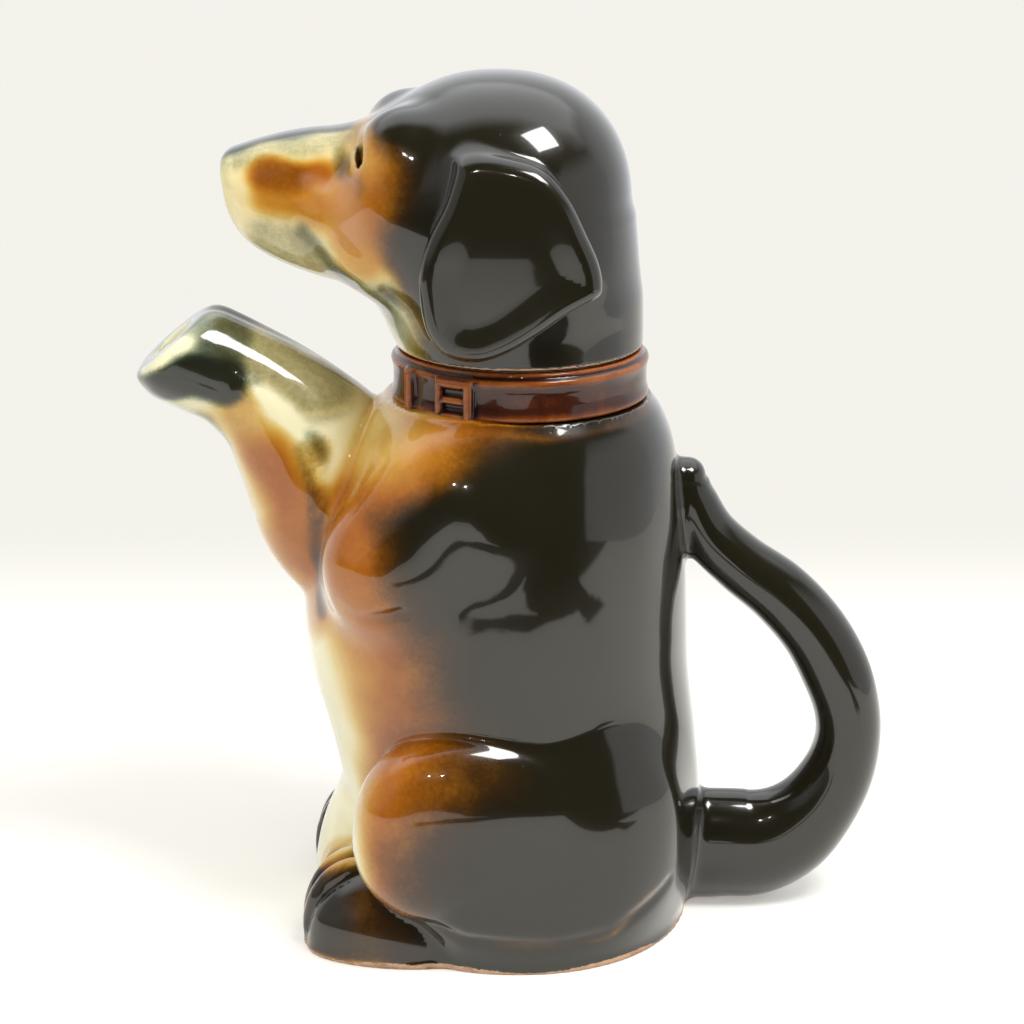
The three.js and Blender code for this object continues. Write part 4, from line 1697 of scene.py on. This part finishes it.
@dataclass(frozen=True)
class Collar:
    """The strap round the neck, glazed by itself, with its buckle.

    Attributes:
        axis_x: Where the neck's axis lies along X in the frame.
        step: The spacing of its mesh.
        strap: The strap.
        lip: The ridge over it that the head sits behind.
        buckle: The buckle.
        channel: The height, reach and depth of the hollow along the strap's face.
        room: The lowest and highest corners of the space that is meshed.
    """

    axis_x: float
    step: float = 0.55
    strap: Form = Cuff(25.0, 28.2, 121.0, 130.3, 1.1)
    lip: Form = Cuff(24.9, 27.0, 124.0, 131.5, 0.5)
    buckle: Form = Buckle()
    channel: tuple[float, float, float] = (125.6, 3.1, 0.55)
    room: tuple[Point, Point] = ((-32.0, -32.0, 119.5), (32.0, 32.0, 132.0))

    def clay(self, points: Array) -> Array:
        """The distance of the collar's clay."""
        middle, reach, depth = self.channel
        strap = self.strap.distance(points) + depth * np.exp(-(((points[:, 2] - middle) / reach) ** 4))
        strap = soft_min(strap, self.lip.distance(points), 0.6)
        return soft_min(strap, self.buckle.distance(points), 0.8)

    def build(self) -> bpy.types.Object:
        """Meshes the collar.

        Returns:
            The piece.
        """
        skin = sculptor(self.step).cast(self.clay, *self.room)
        masks = {"proud": np.clip(skin.bend * 1.2, -1.0, 1.0)}
        piece = make_piece("collar_strap_and_buckle", skin, skin.quads, masks, self.axis_x)
        CollarGlaze().dress(piece)
        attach(piece, "pot")
        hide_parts("collar")
        return piece


# The lid


@dataclass(frozen=True)
class Head:
    """The dog's head, which is the lid, with its two ears.

    Attributes:
        axis_x: Where the neck's axis lies along X in the frame.
        step: The spacing of its mesh.
        wall: The thickness of the clay.
        forms: The lumps of clay without the ears, each with the fill of its crease.
        ear: The near ear.
        socket: The pit of the near eye.
        grooves: The creases of the skin.
        passes: How it is sprayed, with a painted pink reflection among the rose strokes on the snout.
        room: The lowest and highest corners of the space that is meshed.
        crease: The fill of the crease round the ear.
        root: How much more fill it has at its root.
        root_heights: Between which heights the root begins.
        root_places: Between which places along X it ends.
        hollow_top: How high the lid's opening reaches.
        wander: The patches by which the spray wanders, their random fields, and how far it does.
    """

    axis_x: float
    step: float = 0.75
    wall: float = 4.5
    forms: Sequence[tuple[Form, float]] = (
        (
            Stack(
                (
                    (132.0, 26.8, 26.8, 26.8),
                    (137.7, 29.4, 26.8, 27.2),
                    (144.7, 31.0, 26.5, 28.2),
                    (152.7, 31.0, 25.0, 28.4),
                    (159.7, 29.8, 23.0, 26.8),
                ),
                power=2.0,
            ),
            0.0,
        ),
        (Egg((-4.9, 0.0, 162.7), (28.9, 29.2, 28.3), power=2.25), 6.0),
        (
            Muzzle(
                (
                    (-66.0, 173.2, 161.8, 7.6),
                    (-62.0, 174.6, 158.4, 8.8),
                    (-59.0, 175.6, 155.3, 9.9),
                    (-55.0, 176.8, 152.3, 11.0),
                    (-50.0, 178.0, 149.8, 12.2),
                    (-45.0, 178.8, 147.9, 13.2),
                    (-40.0, 179.2, 146.4, 14.2),
                    (-34.0, 180.0, 145.2, 16.0),
                    (-18.0, 181.4, 144.2, 17.0),
                ),
                power=2.5,
                tip=(-63.5, 168.0),
                lean=0.15,
                rounding=3.4,
            ),
            8.0,
        ),
        (Egg((-25.2, -13.8, 175.4), (8.8, 8.8, 9.8), 0.35), 4.4),
        (Egg((-26.0, -15.5, 164.5), (8.5, 7.6, 9.5)), 8.0),
        (Egg((-36.0, -12.0, 161.2), (8.5, 5.8, 8.5)), 5.0),
        (Egg((-30.5, -11.5, 151.6), (11.0, 8.0, 5.8), 0.5), 5.0),
    )
    ear: Flap = Flap(
        (
            (-12.4, 176.4),
            (-8.4, 177.6),
            (-2.4, 177.0),
            (4.8, 174.6),
            (9.8, 169.0),
            (13.4, 161.8),
            (16.0, 155.8),
            (16.8, 151.1),
            (15.8, 148.6),
            (9.8, 145.3),
            (3.7, 141.1),
            (-2.5, 137.3),
            (-8.6, 135.2),
            (-14.7, 136.1),
            (-18.4, 139.6),
            (-20.3, 144.9),
            (-20.9, 153.2),
            (-19.0, 160.4),
            (-15.5, 167.5),
            (-13.4, 173.6),
        ),
        plane=-31.0,
        thickness=6.4,
        rounding=2.8,
        dish=0.6,
        flare=0.02,
        wrap=0.004,
        curl=(0.0075, 0.0015),
    )
    socket: Form = Egg((-33.2, -15.6, 174.9), (0.9, 3.2, 2.9), -0.1)
    grooves: Sequence[Groove] = (
        Groove(((-45.0, -13.0, 159.2), (-40.5, -14.0, 153.2), (-35.0, -14.0, 148.7)), 2.2, 0.5, 0.4),
        Groove(((-28.0, -16.0, 148.2), (-23.0, -20.0, 143.7), (-20.5, -22.0, 137.7)), 1.8, 0.8, 0.4),
        Groove(((-43.0, -12.0, 167.7), (-37.5, -13.0, 172.7), (-34.5, -13.0, 177.7)), 2.6, 0.7, 0.4),
        Groove(((-63.0, -4.0, 167.9), (-60.5, -8.0, 166.5)), 0.5, 0.35, 0.6),
    )
    passes: Sequence[Pass] = (
        Wash(
            Layer.AMBER,
            (
                (132.0, -26.0, -16.0),
                (141.0, -25.0, -17.0),
                (147.0, -28.0, -20.0),
                (153.0, -32.0, -25.0),
                (160.0, -37.0, -28.0),
                (169.0, -39.0, -29.0),
                (176.0, -41.0, -23.0),
                (191.0, -42.0, -26.0),
            ),
            0.93,
        ),
        Wash(
            Layer.SMOKE,
            (
                (132.0, -24.0, -16.0),
                (141.0, -24.0, -17.0),
                (147.0, -28.0, -19.0),
                (153.0, -31.0, -20.0),
                (160.0, -32.0, -20.0),
                (168.0, -32.0, -18.0),
                (175.0, -31.5, -17.0),
                (180.0, -33.5, -20.0),
                (184.0, -36.5, -28.0),
                (191.0, -40.0, -33.0),
            ),
        ),
        *strokes(
            Layer.AMBER,
            (((-60.0, 0.0, 166.0), (-40.0, 0.0, 160.0)), 18.0, 10.0, 0.13, 0.5),
            (((-54.0, -12.0, 170.6), (-47.0, -13.0, 170.6), (-42.5, -14.0, 171.6)), 1.5, 3.6, 0.95, 0.7),
            (((-52.5, -12.0, 166.5), (-46.0, -13.0, 165.5), (-41.0, -14.0, 163.0)), 1.4, 4.6, 0.66, 0.7),
            (((-36.5, -17.0, 170.0), (-34.5, -17.0, 160.0), (-33.0, -17.0, 155.0)), 2.4, 5.0, 0.5, 0.7),
        ),
        *strokes(
            Layer.SMOKE,
            (((-53.0, -12.0, 170.4), (-47.0, -13.0, 170.4)), 1.0, 4.0, 0.13, 0.7),
            (((-64.5, 0.0, 174.3), (-50.0, 0.0, 178.4), (-38.0, 0.0, 180.4)), 0.9, 2.4, 0.9, 0.42),
            (((-62.0, 0.0, 175.0), (-50.0, 0.0, 178.4), (-38.0, 0.0, 180.4)), 3.0, 3.4, 0.22, 0.3),
            (((-65.2, 0.0, 173.4), (-65.0, 0.0, 167.0)), 0.5, 1.0, 0.9, 0.25),
            (((-33.9, -15.0, 176.8), (-33.4, -15.0, 172.8)), 0.6, 0.9, 0.98, 0.4),
            (((-38.5, -14.0, 178.0), (-36.5, -15.0, 172.0), (-33.0, -18.0, 168.5)), 0.6, 2.6, 0.35, 0.6),
            (((-45.0, -13.0, 158.0), (-40.0, -14.0, 152.0), (-35.0, -14.0, 148.0)), 0.5, 3.0, 0.3, 0.5),
            (((-53.0, -9.0, 156.0), (-43.0, -11.0, 153.5)), 2.5, 6.0, 0.2, 0.5),
            (((-37.0, -12.0, 149.5), (-29.0, -14.0, 146.5)), 1.5, 4.0, 0.32, 0.6),
            (((-28.0, -14.0, 145.0), (-23.5, -20.0, 134.0)), 2.0, 5.0, 0.25, 0.6),
        ),
        *strokes(
            Layer.ROSE,
            # The first rose stroke paints a pink reflection band across the snout, between the two amber
            # strokes.
            (((-44.5, -13.0, 169.5), (-41.5, -14.0, 168.5)), 0.8, 2.6, 0.45, 0.7),
            (((-35.5, -17.0, 168.0), (-35.0, -17.0, 160.0)), 1.8, 4.0, 0.7, 0.7),
        ),
    )
    room: tuple[Point, Point] = ((-67.0, -40.0, 130.0), (31.0, 40.0, 193.5))
    crease: float = 1.4
    root: float = 2.6
    root_heights: tuple[float, float] = (166.0, 178.0)
    root_places: tuple[float, float] = (-12.0, 0.0)
    hollow_top: float = 158.0
    wander: tuple[float, tuple[int, int, int], float] = (11.0, (13, 14, 15), 0.8)

    def skull(self, points: Array) -> Array:
        """The distance of the head without its ears."""
        total = grooved(Blend(self.forms).distance(points), points, self.grooves)
        return soft_max(total, -self.socket.distance(points), 1.4)

    def outside(self, points: Array) -> Array:
        """The distance of the outer skin, ears and all."""
        high = smooth_step(points[:, 2], *self.root_heights)
        ahead = 1.0 - smooth_step(points[:, 0], *self.root_places)
        fill = self.crease + self.root * high * ahead
        return soft_min(self.skull(points), self.ear.distance(points), fill)

    def clay(self, points: Array) -> Array:
        """The distance of the lid's clay, hollow and all."""
        points = folded(points)
        height = points[:, 2]
        outer = soft_max(self.outside(points), CLOSED - height, 0.8)
        cavity = Blend(self.forms[:3]).distance(points) + self.wall
        cavity = np.maximum(cavity, CLOSED + self.wall - height)
        opening = np.hypot(points[:, 0], points[:, 1]) - Flange.inside
        opening = np.maximum(opening, height - self.hollow_top)
        return soft_max(outer, -soft_min(cavity, opening, 2.0), 1.0)

    def build(self) -> list[bpy.types.Object]:
        """Meshes the head and parts it from its ears.

        Returns:
            The pieces.
        """
        skin = sculptor(self.step).cast(self.clay, *self.room)
        masks = self.masks(skin)
        middles = skin.points[skin.quads].mean(axis=1)
        near = folded(middles)
        flap = (self.ear.distance(near) < self.skull(near)) & (self.outside(near) > -1.0)
        left = middles[:, 1] < 0.0
        names = {
            "head_lid": (~flap, "head"),
            "left_ear_piece": (flap & left, "left_ear"),
            "right_ear_piece": (flap & ~left, "right_ear"),
        }
        pieces = []
        for name, (chosen, node) in names.items():
            piece = make_piece(name, skin, skin.quads[chosen], masks, self.axis_x)
            SprayedGlaze().dress(piece)
            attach(piece, "lid")
            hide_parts(node)
            pieces.append(piece)
        return pieces

    def masks(self, skin: Skin) -> dict[str, Array]:
        """The thickness of each coat over the head.

        Args:
            skin: The head's skin.

        Returns:
            The masks by name.
        """
        pitch, seeds, far = self.wander
        near = folded(skin.points)
        coats = spray_all(near + drift(skin.points, pitch, seeds) * far, self.passes)
        flap = self.ear.distance(near) < self.skull(near)
        coats[Layer.SMOKE][flap] = 1.0
        coats[Layer.AMBER][flap] = 0.9
        inside = self.outside(near) < -1.5
        line_inside(coats, inside, smoke=0.05, amber=0.1)
        foot = 1.0 - smooth_step(skin.points[:, 2], CLOSED + 0.25, CLOSED + 0.7)
        coats[Layer.BARE] = np.maximum(foot, inside * 1.0)
        return named_masks(coats, skin.bend, 1.6)


@dataclass(frozen=True)
class Flange:
    """The hollow flange under the head, which drops into the neck.

    Attributes:
        axis_x: Where the neck's axis lies along X in the frame.
        inside: Its inside radius.
        outside: Its outside radius.
        foot: The height of its lower edge.
        top: The height of its root under the lid.
    """

    axis_x: float
    inside: float = 17.0
    outside: float = 20.0
    foot: float = 122.0
    top: float = 131.7

    def build(self) -> bpy.types.Object:
        """Turns the flange.

        Returns:
            The piece.
        """
        mid = (self.inside + self.outside) / 2.0
        profile = [
            (self.inside, self.top),
            (self.inside, self.foot + 1.2),
            (self.inside + 0.4, self.foot + 0.3),
            (mid - 0.5, self.foot),
            (mid + 0.3, self.foot + 0.1),
            (self.outside - 0.35, self.foot + 0.8),
            (self.outside, self.foot + 2.0),
            (self.outside, self.top),
        ]
        piece = turned("lid_flange_ring", profile, self.axis_x)
        BareClay().dress(piece)
        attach(piece, "lid")
        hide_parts("lid_flange")
        return piece


# The studio


@dataclass(frozen=True)
class Lamp:
    """A soft square lamp.

    Attributes:
        name: Its name.
        place: Where it stands, in metres.
        target: What it points at.
        size: The length of its sides.
        power: Its power in watts.
        colour: Its colour.
        seen_in_gloss: Whether it shows in the glaze.
    """

    name: str
    place: Point
    target: Point
    size: float
    power: float
    colour: Colour = (1.0, 1.0, 1.0)
    seen_in_gloss: bool = False

    def build(self) -> bpy.types.Object:
        """Hangs the lamp.

        Returns:
            The lamp.
        """
        light = bpy.data.lights.new(self.name, "AREA")
        light.shape = "SQUARE"
        light.size = self.size
        light.energy = self.power
        light.color = self.colour
        lamp = add_object(self.name, light)
        lamp.visible_glossy = self.seen_in_gloss
        lamp.location = self.place
        aim = Vector(self.target) - Vector(self.place)
        lamp.rotation_euler = aim.to_track_quat("-Z", "Y").to_euler()
        return lamp


@dataclass(frozen=True)
class Studio:
    """A pale table in a room with a bright wall behind, and the camera of the photograph.

    Attributes:
        paper: What the camera sees behind the table.
        table: The table's own colour.
        lift: What the camera and the glaze see added to the table's light.
        sky: The light that the room gives from all round.
        table_low: The table's near left corner.
        table_high: The table's far right corner.
        axis_x: Where the neck's axis lies along X in the frame.
        centre: What the camera looks at, from the neck's axis.
        distance: How far off it stands.
        elevation: How many degrees it looks down.
        lens: The length of its lens, in millimetres.
        lamps: The lamps.
    """

    axis_x: float
    paper: Colour = (0.90, 0.885, 0.83)
    table: Colour = (0.80, 0.79, 0.76)
    lift: float = 0.30
    sky: float = 0.55
    table_low: tuple[float, float] = (-0.90, -1.20)
    table_high: tuple[float, float] = (0.55, 0.75)
    centre: Point = (-0.00175, 0.0, 0.0933)
    distance: float = 0.600
    elevation: float = 17.0
    lens: float = 94.92
    lamps: Sequence[Lamp] = (
        Lamp("window_lamp", (0.30, -0.24, 0.74), (0.0, 0.0, 0.10), 0.25, 4.2, (1.0, 0.99, 0.96), True),
        Lamp("room_lamp", (-0.75, -0.65, 0.95), (0.0, 0.0, 0.08), 0.55, 6.5, (1.0, 0.98, 0.95)),
        Lamp("wall_lamp", (0.8, -0.35, 0.9), (0.0, 0.0, 0.08), 0.8, 3.2, (1.0, 0.97, 0.93)),
        Lamp("left_bulb", (-0.10, -0.62, 0.52), (0.0, 0.0, 0.10), 0.016, 0.12, (1.0, 0.93, 0.84), True),
        Lamp("right_bulb", (0.02, -0.66, 0.50), (0.0, 0.0, 0.10), 0.016, 0.12, (1.0, 0.93, 0.84), True),
    )

    def build_table(self) -> bpy.types.Object:
        """Lays the table.

        Returns:
            The table.
        """
        (x0, y0), (x1, y1) = self.table_low, self.table_high
        mesh = bpy.data.meshes.new("table")
        mesh.from_pydata([(x0, y0, 0.0), (x1, y0, 0.0), (x1, y1, 0.0), (x0, y1, 0.0)], [], [(0, 1, 2, 3)])
        table = add_object("table", mesh)
        material = bpy.data.materials.new("table_paper")
        material.use_nodes = True
        wiring = Wiring(material.node_tree)
        ray = wiring.add("ShaderNodeLightPath")
        gloss = Value(wiring, ray.outputs["Is Glossy Ray"])
        seen = Value(wiring, ray.outputs["Is Camera Ray"]).either(gloss)
        plain = wiring.add("ShaderNodeBsdfDiffuse", {}, {"Color": opaque(self.table)}).outputs[0]
        glow = wiring.glow((1.0, 0.99, 0.96, 1.0), seen * self.lift)
        lit = wiring.add("ShaderNodeAddShader", {}, {0: plain, 1: glow}).outputs[0]
        place = wiring.place()
        parts = wiring.add("ShaderNodeSeparateXYZ", {}, {0: place})
        x, y = Value(wiring, parts.outputs["X"]), Value(wiring, parts.outputs["Y"])
        ragged = (wiring.noise(place, 14.0, 3.0) - 0.5) * 0.07
        # The table glows dark for glossy rays in patches: a painted dark reflection in the glaze.
        gap = self.dark_reflection_patches(x, y, ragged) * gloss
        dark = wiring.glow((0.02, 0.02, 0.02, 1.0))
        lit = wiring.add("ShaderNodeMixShader", {}, {0: gap, 1: lit, 2: dark}).outputs[0]
        far = wiring.glow(opaque(self.paper))
        haze = y.above(0.10, 0.30) * seen
        wiring.show(wiring.add("ShaderNodeMixShader", {}, {0: haze, 1: lit, 2: far}).outputs[0])
        mesh.materials.append(material)
        return table

    @staticmethod
    def dark_reflection_patches(x: Value, y: Value, ragged: Value) -> Value:
        """Where the table shows dark to glossy rays only: a painted reflection of a dark room in the glaze,
        in ragged patches round pale bands.

        Args:
            x: The place along X, in metres.
            y: The place along Y.
            ragged: How far the patches' edges stray.

        Returns:
            1 where the painted dark reflection shows and 0 on the pale bands.
        """
        loose_x, loose_y = x + ragged, y + ragged
        strip = loose_x.above(0.175, 0.185) * loose_x.below(0.250, 0.260) * y.below(-0.18, -0.16)
        left = loose_x.below(-0.065, -0.035) * y.above(-0.46, -0.44)
        behind = (loose_y.above(-0.232, -0.217) * (1.0 - strip)).either(left)
        side = loose_x.above(0.250, 0.260) * y.above(-0.32, -0.29)
        ahead = loose_y.below(-0.285, -0.270) * loose_x.below(0.07, 0.08)
        ahead = ahead * loose_x.above(-0.18, -0.16).either(y.above(-0.46, -0.44))
        return 1.0 - behind.either(ahead).either(side)

    def build_room(self) -> None:
        """Lights the room: a pale wall behind, a dim room in front and a grey ceiling."""
        world = bpy.data.worlds.new("room")
        bpy.context.scene.world = world
        world.use_nodes = True
        wiring = Wiring(world.node_tree)
        ray = wiring.add("ShaderNodeLightPath")
        seen = Value(wiring, ray.outputs["Is Camera Ray"])
        gloss = Value(wiring, ray.outputs["Is Glossy Ray"])
        way = wiring.add("ShaderNodeTexCoord").outputs["Generated"]
        parts = wiring.add("ShaderNodeSeparateXYZ", {}, {0: way})
        x, y, z = (Value(wiring, parts.outputs[axis]) for axis in "XYZ")
        ragged = wiring.noise(way, 2.2) - 0.5
        behind = (y + ragged * 0.3).above(-0.05, 0.35) * z.below(0.75, 0.98)
        above = (z + ragged * 0.3).above(0.42, 0.80) * (y + ragged * 0.2).above(-0.30, 0.15) * 1.1
        left = (x * -1.0 + ragged * 0.5).above(0.45, 0.85) * z.above(-0.1, 0.15) * 0.25
        right = (x + ragged * 0.12).above(0.70, 0.75) * z.below(0.3, 0.6) * 0.44
        room = (behind * 0.5).either(above).either(left).either(right) + 0.02
        dull = wiring.mix(room.held(), OPAQUE_BLACK, (0.95, 0.97, 1.0, 1.0))
        diffuse = (self.sky, self.sky, self.sky * 0.98, 1.0)
        colour = wiring.mix(gloss, diffuse, dull)
        colour = wiring.mix(seen, colour, opaque(self.paper))
        light = {"Color": colour, "Strength": 1.0 + gloss * 0.8}
        wiring.show(wiring.add("ShaderNodeBackground", {}, light).outputs[0], "ShaderNodeOutputWorld")

    def build_camera(self) -> bpy.types.Object:
        """Sets up the camera.

        Returns:
            The camera.
        """
        camera = add_object("camera", bpy.data.cameras.new("camera"))
        camera.data.lens = self.lens
        camera.data.sensor_width = 36.0
        down = math.radians(self.elevation)
        x, y, z = self.centre
        x += self.axis_x * MM
        camera.location = (x, y - self.distance * math.cos(down), z + self.distance * math.sin(down))
        camera.rotation_euler = (math.pi / 2.0 - down, 0.0, 0.0)
        bpy.context.scene.camera = camera
        bpy.context.scene.view_settings.view_transform = "Standard"
        return camera

    def build(self) -> None:
        """Builds the table, the room, the lamps and the camera."""
        self.build_table()
        self.build_room()
        for lamp in self.lamps:
            lamp.build()
        self.build_camera()


def main() -> None:
    """Builds the teapot and its studio."""
    logging.basicConfig(level=logging.INFO, format="%(message)s")
    low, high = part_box("lid_flange")
    axis_x = (low.x + high.x) / 2.0 / MM
    Studio(axis_x).build()
    pieces = [*Pot(axis_x).build(), Collar(axis_x).build(), *Head(axis_x).build(), Flange(axis_x).build()]
    for piece in pieces:
        log.info("%s: %d faces", piece.name, len(piece.data.polygons))


if __name__ == "__main__":
    main()
